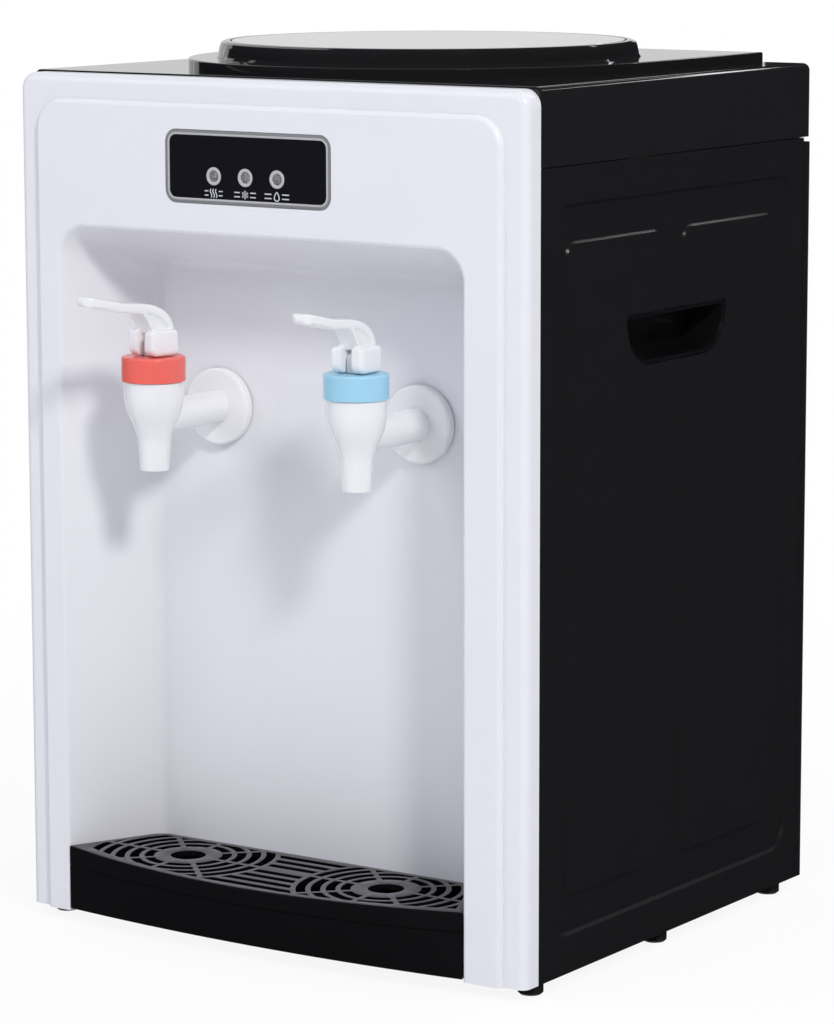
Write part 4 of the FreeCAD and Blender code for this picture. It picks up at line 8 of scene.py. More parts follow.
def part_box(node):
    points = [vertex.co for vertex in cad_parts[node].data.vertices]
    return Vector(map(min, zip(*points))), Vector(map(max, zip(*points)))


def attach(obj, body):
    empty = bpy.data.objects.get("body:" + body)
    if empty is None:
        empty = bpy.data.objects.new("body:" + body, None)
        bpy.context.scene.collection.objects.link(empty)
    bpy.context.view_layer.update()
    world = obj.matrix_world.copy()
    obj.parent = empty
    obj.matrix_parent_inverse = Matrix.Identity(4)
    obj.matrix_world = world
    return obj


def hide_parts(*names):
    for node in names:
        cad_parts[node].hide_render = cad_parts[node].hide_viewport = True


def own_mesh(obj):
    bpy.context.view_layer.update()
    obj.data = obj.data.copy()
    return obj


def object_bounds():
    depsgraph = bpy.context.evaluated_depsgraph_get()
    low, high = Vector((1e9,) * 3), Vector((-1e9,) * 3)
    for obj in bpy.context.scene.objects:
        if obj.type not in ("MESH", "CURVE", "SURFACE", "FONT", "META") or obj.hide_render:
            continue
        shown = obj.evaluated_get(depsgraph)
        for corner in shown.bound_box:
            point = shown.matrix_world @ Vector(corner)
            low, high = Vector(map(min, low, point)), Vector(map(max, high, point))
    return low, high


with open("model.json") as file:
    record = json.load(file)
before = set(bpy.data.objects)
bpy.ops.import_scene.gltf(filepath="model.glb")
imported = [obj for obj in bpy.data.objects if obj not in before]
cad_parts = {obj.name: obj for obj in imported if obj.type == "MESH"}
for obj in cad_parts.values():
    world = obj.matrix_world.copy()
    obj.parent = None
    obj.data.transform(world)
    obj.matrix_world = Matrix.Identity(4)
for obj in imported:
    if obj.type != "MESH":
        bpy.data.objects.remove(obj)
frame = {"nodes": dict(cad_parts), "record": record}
CAD_LOW, CAD_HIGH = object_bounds()

MM = 0.001

# The place from which sizes are read: the middle of the casing, on the white border's
# front face, at the casing's lower edge.
RAISE = 3.0 * MM
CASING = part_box("side_panel_right")[0].lerp(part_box("side_panel_left")[1], 0.5)
ORIGIN = Vector((CASING.x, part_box("front_panel")[0].y + RAISE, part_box("side_panel_right")[0].z))


def at(x, y, z):
    return ORIGIN + Vector((x, y, z)) * MM


# Camera, worked out from the photograph's perspective
CAMERA_PLACE = at(1112.8, -1510.2, 513.5)
CAMERA_AZIMUTH = 34.22
CAMERA_ELEVATION = 9.232
CAMERA_ROLL = -0.112
LENS_MM = 142.55
SENSOR_MM = 36
CLIP_START = 0.05
CLIP_END = 100


def make_camera():
    data = bpy.data.cameras.new("camera")
    data.lens = LENS_MM
    data.sensor_width = SENSOR_MM
    data.clip_start = CLIP_START
    data.clip_end = CLIP_END
    camera = bpy.data.objects.new("camera", data)
    bpy.context.scene.collection.objects.link(camera)
    a = math.radians(CAMERA_AZIMUTH)
    e = math.radians(CAMERA_ELEVATION)
    back = Vector((math.sin(a) * math.cos(e), -math.cos(a) * math.cos(e), math.sin(e)))
    right = (-back).cross(Vector((0, 0, 1))).normalized()
    up = right.cross(-back)
    turn = Matrix((right, up, back)).transposed()
    roll = Matrix.Rotation(math.radians(CAMERA_ROLL), 3, back)
    camera.matrix_world = Matrix.Translation(CAMERA_PLACE) @ (roll @ turn).to_4x4()
    bpy.context.scene.camera = camera


def area_light(name, place, target, size, power, colour):
    data = bpy.data.lights.new(name, "AREA")
    data.shape = "DISK"
    data.size = size
    data.energy = power
    data.color = colour
    lamp = bpy.data.objects.new(name, data)
    lamp.location = place
    lamp.rotation_euler = (target - place).to_track_quat("-Z", "Y").to_euler()
    bpy.context.scene.collection.objects.link(lamp)


# Lamps: name, place from the middle of the object, size, watts and colour
LAMP_TARGET = at(0, 60, 240)
WARM_LIGHT = (1.0, 0.985, 0.965)
COOL_LIGHT = (0.94, 0.96, 1.0)
PALE_LIGHT = (0.97, 0.98, 1.0)
LAMPS = [
    ("key", Vector((1.56, -1.10, 1.36)) * 1.5, 0.5, 52, WARM_LIGHT),
    ("fill_left", Vector((-2.0, -2.4, 1.9)), 2.2, 28, COOL_LIGHT),
    ("top", Vector((0.2, -0.8, 2.8)), 1.6, 12, PALE_LIGHT),
    ("rear", Vector((0.5, 2.6, 2.2)), 1.6, 32, PALE_LIGHT),
]


def make_lights():
    for name, offset, size, watts, colour in LAMPS:
        area_light(name, LAMP_TARGET + offset, LAMP_TARGET, size, watts, colour)


# Gives 1 to a ray from the camera, from a gloss or through clear stuff, which sees plain white
def background_rays(nodes, links):
    path = nodes.new("ShaderNodeLightPath")
    first = nodes.new("ShaderNodeMath")
    first.operation = "MAXIMUM"
    links.new(path.outputs["Is Camera Ray"], first.inputs[0])
    links.new(path.outputs["Is Glossy Ray"], first.inputs[1])
    second = nodes.new("ShaderNodeMath")
    second.operation = "MAXIMUM"
    links.new(first.outputs[0], second.inputs[0])
    links.new(path.outputs["Is Transmission Ray"], second.inputs[1])
    return second.outputs[0]


SKY_COLOUR = (0.86, 0.90, 1.0)
SKY_STRENGTH = 0.41


def make_world():
    world = bpy.data.worlds.new("studio")
    bpy.context.scene.world = world
    world.use_nodes = True
    nodes = world.node_tree.nodes
    links = world.node_tree.links
    nodes.clear()
    soft = nodes.new("ShaderNodeBackground")
    soft.inputs["Color"].default_value = SKY_COLOUR + (1,)
    soft.inputs["Strength"].default_value = SKY_STRENGTH
    seen = nodes.new("ShaderNodeBackground")
    seen.inputs["Color"].default_value = (1, 1, 1, 1)
    mix = nodes.new("ShaderNodeMixShader")
    links.new(background_rays(nodes, links), mix.inputs[0])
    links.new(soft.outputs[0], mix.inputs[1])
    links.new(seen.outputs[0], mix.inputs[2])
    out = nodes.new("ShaderNodeOutputWorld")
    links.new(mix.outputs[0], out.inputs[0])


# The corners of a level square
def square(centre, half, z):
    signs = ((-1, -1), (1, -1), (1, 1), (-1, 1))
    return [(centre[0] + sx * half, centre[1] + sy * half, z) for sx, sy in signs]


FLOOR_HALF = 14.0
FLOOR_DROP = 0.0002
FLOOR_COLOUR = (0.92, 0.92, 0.92)
FLOOR_SHADOW_SHARE = 0.09
SHADOW_NEAR = 0.25
SHADOW_FAR = 0.9


# The part of the floor that is lit and takes a shadow: near the object only
def shadow_share(nodes, links):
    place = nodes.new("ShaderNodeTexCoord")
    reach = nodes.new("ShaderNodeVectorMath")
    reach.operation = "LENGTH"
    links.new(place.outputs["Object"], reach.inputs[0])
    fade = nodes.new("ShaderNodeMapRange")
    fade.inputs["From Min"].default_value = SHADOW_NEAR
    fade.inputs["From Max"].default_value = SHADOW_FAR
    fade.inputs["To Min"].default_value = 1 - FLOOR_SHADOW_SHARE
    fade.inputs["To Max"].default_value = 1
    links.new(reach.outputs["Value"], fade.inputs["Value"])
    return fade.outputs["Result"]


def make_floor():
    mesh = bpy.data.meshes.new("floor")
    corners = square((0, 0), FLOOR_HALF, CAD_LOW.z - FLOOR_DROP)
    mesh.from_pydata(corners, [], [(0, 1, 2, 3)])
    floor = bpy.data.objects.new("floor", mesh)
    bpy.context.scene.collection.objects.link(floor)
    material = bpy.data.materials.new("pale_floor")
    material.use_nodes = True
    nodes = material.node_tree.nodes
    links = material.node_tree.links
    nodes.clear()
    matte = nodes.new("ShaderNodeBsdfDiffuse")
    matte.inputs["Color"].default_value = FLOOR_COLOUR + (1,)
    glow = nodes.new("ShaderNodeEmission")
    glow.inputs["Color"].default_value = (1, 1, 1, 1)
    share = nodes.new("ShaderNodeMath")
    share.operation = "MULTIPLY"
    links.new(background_rays(nodes, links), share.inputs[0])
    links.new(shadow_share(nodes, links), share.inputs[1])
    mix = nodes.new("ShaderNodeMixShader")
    links.new(share.outputs[0], mix.inputs[0])
    links.new(matte.outputs[0], mix.inputs[1])
    links.new(glow.outputs[0], mix.inputs[2])
    out = nodes.new("ShaderNodeOutputMaterial")
    links.new(mix.outputs[0], out.inputs[0])
    mesh.materials.append(material)


# Cards, as in a studio: a dark floor mat, a dark curved wall and ceiling, a bright strip and a
# pale back. They show only in the gloss of the object, and never in the picture itself.
CARD_CENTRE = at(0, 110, 0)
CARD_LIFT = 0.001
CARD_REACH = 1.6
CARD_FROM = -106
CARD_TO = 203
CARD_STEPS = 32
WALL_HEIGHT = 1.25
CEILING_HEIGHT = 1.9
CEILING_SPREAD = 1.6
DARK_TONE = (0.016, 0.016, 0.018)
STRIP_FROM = -116
STRIP_TO = -109
STRIP_STEPS = 2
STRIP_TONE = (3.0, 3.0, 3.0)
BACK_TO = 253
BACK_STEPS = 6
BACK_TONE = (0.78, 0.78, 0.79)


def gloss_card(name, corners, faces, tone):
    mesh = bpy.data.meshes.new(name)
    mesh.from_pydata(corners, [], faces)
    card = bpy.data.objects.new(name, mesh)
    bpy.context.scene.collection.objects.link(card)
    card.visible_camera = False
    card.visible_diffuse = False
    card.visible_shadow = False
    card.visible_transmission = False
    material = bpy.data.materials.new(name + "_felt")
    material.use_nodes = True
    nodes = material.node_tree.nodes
    nodes.clear()
    glow = nodes.new("ShaderNodeEmission")
    glow.inputs["Color"].default_value = tone + (1,)
    out = nodes.new("ShaderNodeOutputMaterial")
    material.node_tree.links.new(glow.outputs[0], out.inputs[0])
    mesh.materials.append(material)


# Angles are in degrees round the object, from its front towards its right hand side
def arc_of_card(first, last, steps):
    spots = []
    for i in range(steps + 1):
        turn = math.radians(first + (last - first) * i / steps)
        x = CARD_CENTRE.x + CARD_REACH * math.sin(turn)
        spots.append((x, CARD_CENTRE.y - CARD_REACH * math.cos(turn)))
    return spots


def curved_card(name, spots, low, high, tone):
    corners = []
    for x, y in spots:
        corners += [(x, y, low), (x, y, high)]
    faces = [(2 * i, 2 * i + 2, 2 * i + 3, 2 * i + 1) for i in range(len(spots) - 1)]
    gloss_card(name, corners, faces, tone)


def make_cards():
    floor_z = CAD_LOW.z + CARD_LIFT
    spots = arc_of_card(CARD_FROM, CARD_TO, CARD_STEPS)
    corners = [(CARD_CENTRE.x, CARD_CENTRE.y, floor_z)] + [(x, y, floor_z) for x, y in spots]
    gloss_card("card_mat", corners, [(0, i + 1, i + 2) for i in range(CARD_STEPS)], DARK_TONE)
    curved_card("card_wall", spots, floor_z, WALL_HEIGHT, DARK_TONE)
    strip = arc_of_card(STRIP_FROM, STRIP_TO, STRIP_STEPS)
    curved_card("card_strip", strip, floor_z, WALL_HEIGHT, STRIP_TONE)
    back = arc_of_card(CARD_TO, BACK_TO, BACK_STEPS)
    curved_card("card_back", back, floor_z, CEILING_HEIGHT, BACK_TONE)
    corners = square(CARD_CENTRE, CARD_REACH * CEILING_SPREAD, CEILING_HEIGHT)
    gloss_card("card_ceiling", corners, [(0, 1, 2, 3)], DARK_TONE)


RELIEF_DEPTH = 0.0004
COAT_ROUGHNESS = 0.03
LEAST_ROUGHNESS = 0.02
RAMP_FROM = 0.3
RAMP_TO = 0.7


# Materials. Each has a base finish, a fine surface relief and a faint change of gloss and tone.
# Grain and patch are the scales of the fine and the broad noise.
def finish(name, colour, roughness, specular=0.5, grain=900.0, relief=0.02, gloss_change=0.06,
           metallic=0.0, coat=0.0, mottle=0.03, patch=24.0):
    material = bpy.data.materials.new(name)
    material.use_nodes = True
    nodes = material.node_tree.nodes
    links = material.node_tree.links
    shader = nodes["Principled BSDF"]
    shader.inputs["Metallic"].default_value = metallic
    shader.inputs["Specular IOR Level"].default_value = specular
    if coat:
        shader.inputs["Coat Weight"].default_value = coat
        shader.inputs["Coat Roughness"].default_value = COAT_ROUGHNESS
    place = nodes.new("ShaderNodeTexCoord")
    fine = nodes.new("ShaderNodeTexNoise")
    fine.inputs["Scale"].default_value = grain
    fine.inputs["Detail"].default_value = 3
    links.new(place.outputs["Object"], fine.inputs["Vector"])
    bump = nodes.new("ShaderNodeBump")
    bump.inputs["Strength"].default_value = relief
    bump.inputs["Distance"].default_value = RELIEF_DEPTH
    links.new(fine.outputs["Fac"], bump.inputs["Height"])
    links.new(bump.outputs["Normal"], shader.inputs["Normal"])
    broad = nodes.new("ShaderNodeTexNoise")
    broad.inputs["Scale"].default_value = patch
    broad.inputs["Detail"].default_value = 4
    links.new(place.outputs["Object"], broad.inputs["Vector"])
    gloss = nodes.new("ShaderNodeMapRange")
    gloss.inputs["To Min"].default_value = max(roughness - gloss_change, LEAST_ROUGHNESS)
    gloss.inputs["To Max"].default_value = roughness + gloss_change
    links.new(broad.outputs["Fac"], gloss.inputs["Value"])
    links.new(gloss.outputs["Result"], shader.inputs["Roughness"])
    tone = nodes.new("ShaderNodeValToRGB")
    tone.color_ramp.elements[0].position = RAMP_FROM
    tone.color_ramp.elements[1].position = RAMP_TO
    tone.color_ramp.elements[0].color = [c * (1 - mottle) for c in colour] + [1]
    tone.color_ramp.elements[1].color = list(colour) + [1]
    links.new(broad.outputs["Fac"], tone.inputs["Fac"])
    links.new(tone.outputs["Color"], shader.inputs["Base Color"])
    return material


WHITE = (0.85, 0.845, 0.885)
FINISHES = {
    "white_casing": finish("white_casing_plastic", WHITE, 0.22, 0.45, 500, 0.03, 0.04, mottle=0.01),
    "tap_white": finish("tap_white_plastic", (0.90, 0.90, 0.915), 0.16, 0.5, 700, 0.03, 0.04,
                        mottle=0.01),
    "black_casing": finish("black_casing_plastic", (0.0112, 0.0112, 0.0120), 0.22, 0.5, 600,
                           0.03, 0.04),
    "black_lid": finish("black_lid_plastic", (0.008, 0.008, 0.009), 0.06, 1.0, 300, 0.01, 0.02,
                        coat=0.7),
    # The trim's grey is partly its own and partly painted shade of the bezel's recessed shoulder
    "silver_trim": finish("silver_trim_grey_and_painted_shade", (0.24, 0.24, 0.25), 0.3, 0.5, 1600, 0.05, 0.05),
    "black_window": finish("black_window_acrylic", (0.008, 0.008, 0.011), 0.08, 0.5, 300,
                           0.01, 0.02),
    "lamp_ring": finish("lamp_ring_paint", (0.54, 0.54, 0.55), 0.22, 0.5, 900, 0.03, 0.05),
    "sign_paint": finish("sign_paint", (0.62, 0.62, 0.64), 0.5, 0.4, 1500, 0.05),
    "lamp_lens": finish("lamp_lens_plastic", (0.36, 0.36, 0.36), 0.2, 0.5, 1500, 0.3, 0.05,
                        mottle=0.85, patch=850.0),
    "circuit_board": finish("circuit_board_lacquer", (0.02, 0.12, 0.05), 0.4, 0.5, 600, 0.1),
    "white_fittings": finish("white_fittings_plastic", (0.80, 0.80, 0.78), 0.4, 0.4, 900, 0.05),
    "screw_steel": finish("screw_steel_plating", (0.62, 0.62, 0.63), 0.3, 0.5, 2500, 0.08,
                          metallic=1.0),
    "foot_rubber": finish("foot_rubber_black", (0.012, 0.012, 0.012), 0.7, 0.3, 1500, 0.2),
    "switch_black": finish("switch_black_plastic", (0.016, 0.016, 0.017), 0.45, 0.4, 1800, 0.2),
    "red_switch": finish("red_switch_plastic", (0.50, 0.015, 0.012), 0.25, 0.5, 900, 0.03),
    "blue_switch": finish("blue_switch_plastic", (0.015, 0.06, 0.40), 0.25, 0.5, 900, 0.03),
    "tank_steel": finish("tank_steel_drawn", (0.60, 0.60, 0.61), 0.3, 0.5, 1200, 0.05,
                         metallic=1.0),
    "clear_silicone": finish("silicone_milky", (0.72, 0.72, 0.70), 0.35, 0.4, 700, 0.05),
    "foam": finish("foam_beads", (0.82, 0.82, 0.82), 0.9, 0.1, 260, 0.9),
    "cast_aluminium": finish("cast_aluminium_milled", (0.70, 0.70, 0.71), 0.4, 0.5, 1200, 0.15,
                             metallic=1.0),
    "ceramic": finish("ceramic_pale", (0.74, 0.73, 0.68), 0.6, 0.3, 1200, 0.1),
    "zinc_sheet": finish("zinc_sheet_spangle", (0.55, 0.56, 0.58), 0.45, 0.5, 120, 0.1,
                         metallic=1.0, mottle=0.25),
    "heater_steel": finish("heater_steel_tint", (0.42, 0.38, 0.34), 0.4, 0.5, 800, 0.1,
                           metallic=1.0, mottle=0.2),
    "electronic_parts": finish("electronic_parts_resin", (0.03, 0.03, 0.035), 0.5, 0.4, 1800, 0.2),
    "hot_red": finish("hot_red_plastic", (0.92, 0.155, 0.125), 0.24, 0.45, 900, 0.05, mottle=0.02),
    "cold_blue": finish("cold_blue_plastic", (0.37, 0.68, 0.87), 0.24, 0.45, 900, 0.05,
                        mottle=0.02),
}
# Looks of single nodes, where they differ from the look of their slot
BRIGHT_SILVER = finish("bright_silver_paint", (0.50, 0.50, 0.51), 0.2, 0.5, 1600, 0.05, 0.05)
GLOSS_BLACK = finish("gloss_black_plastic", (0.0125, 0.0125, 0.0132), 0.06, 0.5, 600, 0.01, 0.02)
GRIP_BLACK = finish("grip_black_plastic", (0.0065, 0.0065, 0.0075), 0.12, 0.5, 600, 0.02, 0.03)
TRAY_BLACK = finish("tray_black_plastic", (0.0060, 0.0060, 0.0066), 0.14, 0.5, 600, 0.01, 0.02)
SPECIAL_LOOKS = {
    "drip_tray": TRAY_BLACK,
    "top_cover": GLOSS_BLACK,
    "bottle_collar": GLOSS_BLACK,
    "grip_cups": GRIP_BLACK,
}


def dress_frame():
    for part in frame["record"]["subparts"]:
        cad = frame["nodes"][part["node"]]
        for slot in cad.material_slots:
            slot.material = FINISHES[part["material_slot"]]
    for node, look in SPECIAL_LOOKS.items():
        for slot in frame["nodes"][node].material_slots:
            slot.material = look


# Pieces. Each one is a mesh in the frame's own place and rides on a body of the record.
def put(name, bm, body, material, smooth=True):
    mesh = bpy.data.meshes.new(name)
    bm.to_mesh(mesh)
    bm.free()
    for polygon in mesh.polygons:
        polygon.use_smooth = smooth
    mesh.materials.append(material)
    piece = bpy.data.objects.new(name, mesh)
    bpy.context.scene.collection.objects.link(piece)
    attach(piece, body)
    return piece


def apply_modifiers(piece):
    graph = bpy.context.evaluated_depsgraph_get()
    mesh = bpy.data.meshes.new_from_object(piece.evaluated_get(graph))
    piece.modifiers.clear()
    piece.data = mesh


WELD = 1e-6


def copied(node):
    bm = bmesh.new()
    bm.from_mesh(frame["nodes"][node].data)
    bmesh.ops.remove_doubles(bm, verts=bm.verts, dist=WELD)
    return bm


# A profile turned about an axis: its points are (radius, height) in millimetres
def turned_piece(bm, profile, centre, along, sides, closed=False):
    along = along.normalized()
    across = along.orthogonal().normalized()
    other = along.cross(across)
    rings = []
    for i in range(sides):
        turn = 2 * math.pi * i / sides
        out = across * math.cos(turn) + other * math.sin(turn)
        rings.append([bm.verts.new(centre + (out * r + along * h) * MM) for r, h in profile])
    for i in range(sides):
        a = rings[i]
        b = rings[(i + 1) % sides]
        last = len(profile) if closed else len(profile) - 1
        for k in range(last):
            n = (k + 1) % len(profile)
            bm.faces.new((a[k], b[k], b[n], a[n]))


# The three lamps: each ring is half round in front, and each lens is a low dome
LED_LOW, LED_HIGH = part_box("led_rings")
LED_R = (LED_HIGH.z - LED_LOW.z) / 2
LED_PITCH = (LED_HIGH.x - LED_LOW.x) / 2 - LED_R
LED_HEIGHT = (LED_LOW.z + LED_HIGH.z) / 2
LED_PLACES = [Vector((LED_LOW.x + LED_R + i * LED_PITCH, LED_LOW.y, LED_HEIGHT)) for i in range(3)]
OUTWARD = Vector((0, -1, 0))
CURVE_STEPS = 8
RING_ROUND = 0.45
RING_FIT = 0.995
BAND_FIT = 0.98
RING_SIDES = 64
LENS_SIDES = 48
LENS_DOME = 0.5
LENS_SINK = 0.1
LENS_FIT = 0.98
LENS_FOOT_FIT = 0.94
LENS_FOOT = 0.3
LENS_SHOULDER = 0.4
AXIS_GAP = 0.0001


def led_rings():
    bm = bmesh.new()
    outer = LED_R / MM
    lens = (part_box("led_lenses")[1].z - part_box("led_lenses")[0].z) / 2 / MM
    deep = (LED_HIGH.y - LED_LOW.y) / MM
    middle = (outer + lens) / 2
    band = (outer - lens) / 2
    for place in LED_PLACES:
        profile = []
        for i in range(CURVE_STEPS + 1):
            turn = math.pi * i / CURVE_STEPS
            height = -RING_ROUND + RING_ROUND * math.sin(turn)
            profile.append((middle + band * math.cos(turn) * BAND_FIT, height))
        profile = [(outer * RING_FIT, -deep)] + profile + [(lens, -deep)]
        turned_piece(bm, profile, place, OUTWARD, RING_SIDES, closed=True)
    bmesh.ops.recalc_face_normals(bm, faces=bm.faces)
    piece = put("led_rings_turned", bm, "casing", FINISHES["lamp_ring"])
    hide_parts("led_rings")


def led_lenses():
    bm = bmesh.new()
    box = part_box("led_lenses")
    radius = (box[1].z - box[0].z) / 2 / MM
    deep = (box[1].y - box[0].y) / MM
    wide = radius * LENS_FIT
    for place in LED_PLACES:
        profile = [(AXIS_GAP, -deep), (radius * LENS_FOOT_FIT, -deep), (wide, -deep + LENS_FOOT)]
        profile.append((wide, -LENS_DOME - LENS_SHOULDER))
        for i in range(CURVE_STEPS + 1):
            turn = math.pi / 2 * i / CURVE_STEPS
            height = -LENS_DOME - LENS_SINK + LENS_DOME * math.sin(turn)
            profile.append((wide * math.cos(turn) + AXIS_GAP, height))
        turned_piece(bm, profile, place, OUTWARD, LENS_SIDES)
    bmesh.ops.remove_doubles(bm, verts=bm.verts, dist=WELD)
    bmesh.ops.recalc_face_normals(bm, faces=bm.faces)
    piece = put("led_lenses_domed", bm, "casing", FINISHES["lamp_lens"])
    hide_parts("led_lenses")


# Signs under the lamps: steam, a snowflake and a drop, each between two short bars
SIGN_LINE = 0.55
SIGN_THICK = 0.03
SIGN_HALF_HEIGHT = 2.0
SIGN_DROP = 7.9
SIGN_HALF_WIDTHS = (5.2, 6.2, 7.0)
SIGN_BAR_START = 3.0
SIGN_BAR_RISE = 1.0
STEAM_PITCH = 1.5
STEAM_SWAY = 0.45
STEAM_STEPS = 12
SNOW_TWIG_AT = 0.5
SNOW_TWIG = 0.8
SNOW_TWIG_LEAN = 0.6
DROP_REACH = 1.9
DROP_STEPS = 24
DROP_TIP_SHARE = 0.35


# A thin flat bar along the points, which are (across, up) in millimetres from the centre
def stroke(bm, points, centre):
    depths = (-SIGN_THICK, 0)
    sides = []
    for i, point in enumerate(points):
        before = points[max(i - 1, 0)]
        after = points[min(i + 1, len(points) - 1)]
        along = (Vector(after) - Vector(before)).normalized()
        across = Vector((-along.y, along.x)) * SIGN_LINE / 2
        for sign in (1, -1):
            spot = Vector(point) + across * sign
            ends = [centre + Vector((spot.x, depth, spot.y)) * MM for depth in depths]
            sides.append([bm.verts.new(end) for end in ends])
    for i in range(len(points) - 1):
        a, b, c, d = sides[2 * i], sides[2 * i + 1], sides[2 * i + 3], sides[2 * i + 2]
        bm.faces.new((a[0], b[0], c[0], d[0]))
        bm.faces.new((a[1], d[1], c[1], b[1]))
        bm.faces.new((a[0], d[0], d[1], a[1]))
        bm.faces.new((b[0], b[1], c[1], c[0]))
    for first, second in ((sides[0], sides[1]), (sides[-1], sides[-2])):
        bm.faces.new((first[0], first[1], second[1], second[0]))


def steam_lines():
    lines = []
    for x in (-STEAM_PITCH, 0, STEAM_PITCH):
        line = []
        for i in range(STEAM_STEPS + 1):
            share = i / STEAM_STEPS
            sway = STEAM_SWAY * math.sin(2 * math.pi * share)
            line.append((x + sway, SIGN_HALF_HEIGHT * (2 * share - 1)))
        lines.append(line)
    return lines


def snow_lines():
    lines = []
    r = SIGN_HALF_HEIGHT
    for i in range(3):
        turn = math.pi / 2 + math.pi * i / 3
        tip = (r * math.cos(turn), r * math.sin(turn))
        lines.append([(-tip[0], -tip[1]), tip])
    for i in range(6):
        turn = math.pi / 2 + math.pi * i / 3
        root = (SNOW_TWIG_AT * r * math.cos(turn), SNOW_TWIG_AT * r * math.sin(turn))
        for lean in (-SNOW_TWIG_LEAN, SNOW_TWIG_LEAN):
            x = root[0] + SNOW_TWIG * math.cos(turn + lean)
            lines.append([root, (x, root[1] + SNOW_TWIG * math.sin(turn + lean))])
    return lines


def drop_lines():
    line = []
    for i in range(DROP_STEPS + 1):
        turn = math.pi / 2 + 2 * math.pi * i / DROP_STEPS
        low = (1 - math.sin(turn)) / 2
        x = DROP_REACH * math.cos(turn) * (DROP_TIP_SHARE + (1 - DROP_TIP_SHARE) * low)
        line.append((x, SIGN_HALF_HEIGHT * math.sin(turn)))
    return [line]


def window_signs():
    bm = bmesh.new()
    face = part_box("led_window")[0].y
    signs = (steam_lines(), snow_lines(), drop_lines())
    for place, lines, half in zip(LED_PLACES, signs, SIGN_HALF_WIDTHS):
        centre = Vector((place.x, face, place.z - SIGN_DROP * MM))
        for line in lines:
            stroke(bm, line, centre)
        for side in (-1, 1):
            for height in (-SIGN_BAR_RISE, SIGN_BAR_RISE):
                stroke(bm, [(side * SIGN_BAR_START, height), (side * half, height)], centre)
    put("window_signs", bm, "casing", FINISHES["sign_paint"], smooth=False)


# The grille with the upper edges of its slots rounded
GRILLE_ROUND = 0.45
GRILLE_ROUND_STEPS = 3
GRILLE_TOP_BAND = 1.0
FLAT_ANGLE = math.radians(1)
EDGE_ANGLE = math.radians(50)
SHARP_ANGLE = math.radians(35)


def grille():
    node = "drip_grille"
    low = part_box(node)[1].z - GRILLE_TOP_BAND * MM
    bm = copied(node)
    bmesh.ops.dissolve_limit(bm, angle_limit=FLAT_ANGLE, verts=bm.verts, edges=bm.edges)
    bm.normal_update()
    corners = [e for e in bm.edges if e.is_manifold and e.calc_face_angle_signed(0) > EDGE_ANGLE]
    upper = [e for e in corners if min(v.co.z for v in e.verts) > low]
    bmesh.ops.bevel(bm, geom=upper, offset=GRILLE_ROUND * MM, segments=GRILLE_ROUND_STEPS,
                    profile=0.5, affect="EDGES", clamp_overlap=True)
    bmesh.ops.triangulate(bm, faces=[f for f in bm.faces if len(f.verts) > 4])
    piece = put("drip_grille_rounded", bm, "drip_grille", TRAY_BLACK)
    piece.data.set_sharp_from_angle(angle=SHARP_ANGLE)
    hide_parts(node)


# The window's frame: a shoulder, darkened partly by the trim's own grey and partly by painted
# shade of its recess, and a bright bead along the window. Profile points are (distance in from
# the outer edge, depth behind the frame's front) in millimetres.
BEZEL_CORNER = 6.0
BEZEL_FACE = 2.3
BEZEL_SHARP = math.radians(50)
SHOULDER = 1.25
SHOULDER_DEPTH = 0.3
SHOULDER_EDGE = [(0, 0.5), (0.06, 0.36), (0.2, SHOULDER_DEPTH)]
CORNER_STEPS = 10


def rounded_loop(low, high, inset):
    corner = BEZEL_CORNER * MM
    radius = corner - inset * MM
    right, left = high.x - corner, low.x + corner
    top, bottom = high.z - corner, low.z + corner
    corners = ((0, right, top), (90, left, top), (180, left, bottom), (270, right, bottom))
    loop = []
    for start, x, z in corners:
        for i in range(CORNER_STEPS + 1):
            turn = math.radians(start + 90 * i / CORNER_STEPS)
            loop.append((x + radius * math.cos(turn), z + radius * math.sin(turn)))
    return loop


def framed_piece(name, profile, material):
    low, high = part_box("led_bezel")
    bm = bmesh.new()
    rings = []
    for inset, depth in profile:
        y = low.y + depth * MM
        rings.append([bm.verts.new((x, y, z)) for x, z in rounded_loop(low, high, inset)])
    count = len(rings[0])
    for a, b in zip(rings, rings[1:] + rings[:1]):
        for i in range(count):
            n = (i + 1) % count
            bm.faces.new((a[i], a[n], b[n], b[i]))
    bmesh.ops.recalc_face_normals(bm, faces=bm.faces)
    piece = put(name, bm, "casing", material)
    piece.data.set_sharp_from_angle(angle=BEZEL_SHARP)
    return piece


def bezel():
    low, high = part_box("led_bezel")
    deep = (high.y - low.y) / MM
    shoulder = [(0, deep)] + SHOULDER_EDGE + [(SHOULDER, SHOULDER_DEPTH), (SHOULDER, deep)]
    bead = [(SHOULDER, deep), (SHOULDER, SHOULDER_DEPTH)]
    half = (BEZEL_FACE - SHOULDER) / 2
    for i in range(CURVE_STEPS + 1):
        turn = math.pi * i / CURVE_STEPS
        bead.append((SHOULDER + half * (1 - math.cos(turn)), SHOULDER_DEPTH * (1 - math.sin(turn))))
    bead.append((BEZEL_FACE, deep))
    # The shoulder's darker tone is partly the trim's grey and partly painted shade of its recess
    piece = framed_piece("led_bezel_shoulder", shoulder, FINISHES["silver_trim"])
    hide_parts("led_bezel")
    framed_piece("led_bezel_bead", bead, BRIGHT_SILVER)


# Levers as one soft moulding: the CAD form with every inner and outer corner eased
LEVER_VOXEL = 0.4
LEVER_EASE = 0.5
LEVER_EASE_ROUNDS = 10


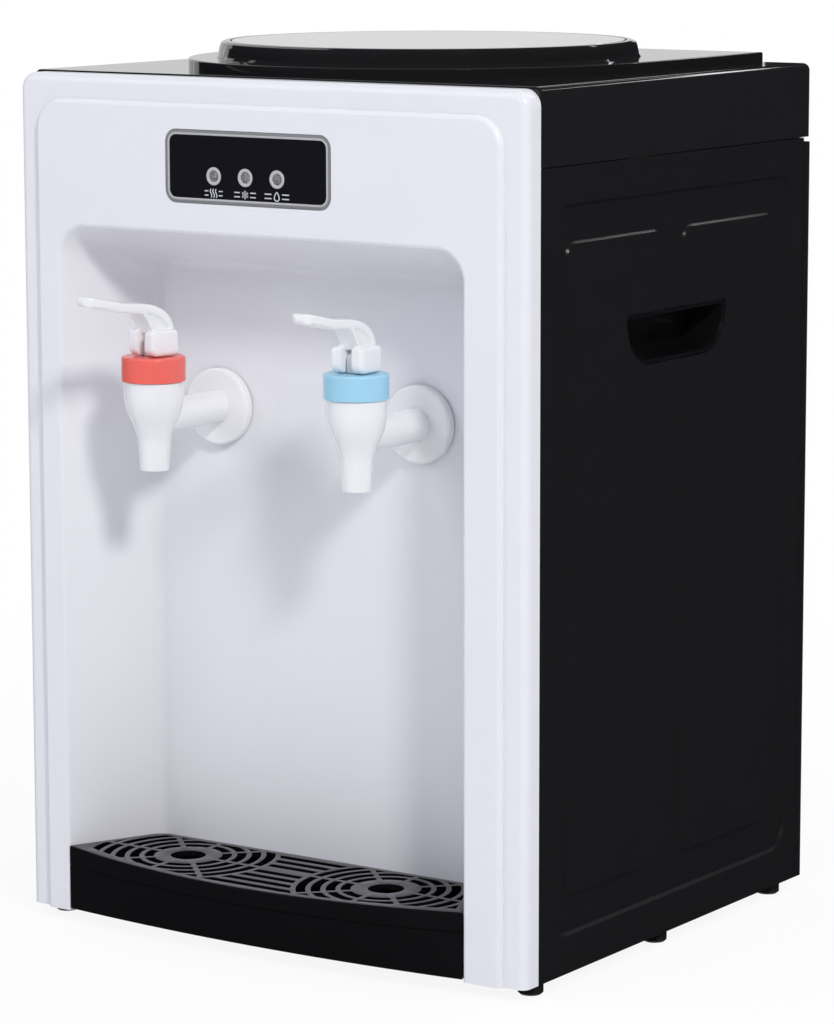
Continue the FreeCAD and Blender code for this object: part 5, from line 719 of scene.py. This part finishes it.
def soft_lever(side):
    node = side + "_tap_lever"
    bm = copied(node)
    piece = put(node + "_moulded", bm, node, FINISHES["tap_white"])
    shell = piece.modifiers.new("shell", "REMESH")
    shell.mode = "VOXEL"
    shell.voxel_size = LEVER_VOXEL * MM
    shell.use_smooth_shade = True
    ease = piece.modifiers.new("ease", "SMOOTH")
    ease.factor = LEVER_EASE
    ease.iterations = LEVER_EASE_ROUNDS
    apply_modifiers(piece)
    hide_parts(node)


# Coil springs in the taps, which the lifting valve presses shorter from below. Each is built
# at its CAD spring's length and rides on its tap's turning body.
WIRE_R = 0.55
COIL_TURNS = 7
TURN_STEPS = 24
WIRE_SIDES = 10
CLOSED_SHARE = 0.08


# The wire's own circle at one share of the coil's way up from the foot. The first and the last
# part of the coil lie level, as closed ends.
def wire_circle(bm, foot, radius, height, share):
    turn = 2 * math.pi * COIL_TURNS * share
    climb = min(max((share - CLOSED_SHARE) / (1 - 2 * CLOSED_SHARE), 0.0), 1.0)
    rise = WIRE_R + (height - 2 * WIRE_R) * climb
    out = Vector((math.cos(turn), math.sin(turn), 0))
    circle = []
    for k in range(WIRE_SIDES):
        bend = 2 * math.pi * k / WIRE_SIDES
        spot = out * (radius + WIRE_R * math.cos(bend))
        spot.z = rise + WIRE_R * math.sin(bend)
        circle.append(bm.verts.new(foot + spot * MM))
    return circle


def coil_spring(side):
    low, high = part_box(side + "_tap_spring")
    radius = (high.x - low.x) / 2 / MM - WIRE_R
    height = (high.z - low.z) / MM
    foot = Vector(((low.x + high.x) / 2, (low.y + high.y) / 2, low.z))
    steps = COIL_TURNS * TURN_STEPS
    bm = bmesh.new()
    circles = [wire_circle(bm, foot, radius, height, i / steps) for i in range(steps + 1)]
    bm.faces.new(circles[0])
    for a, b in zip(circles, circles[1:]):
        for k in range(WIRE_SIDES):
            n = (k + 1) % WIRE_SIDES
            bm.faces.new((a[k], b[k], b[n], a[n]))
    bm.faces.new(list(reversed(circles[-1])))
    bmesh.ops.recalc_face_normals(bm, faces=bm.faces)
    steel = FINISHES["screw_steel"]
    piece = put(side + "_tap_coil_spring", bm, side + "_tap_turn", steel)
    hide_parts(side + "_tap_spring")
    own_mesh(piece)


bpy.context.scene.view_settings.view_transform = "Standard"
make_camera()
make_lights()
make_world()
make_floor()
make_cards()
dress_frame()
led_rings()
led_lenses()
window_signs()
grille()
bezel()
for side in ("hot", "cold"):
    soft_lever(side)
    coil_spring(side)
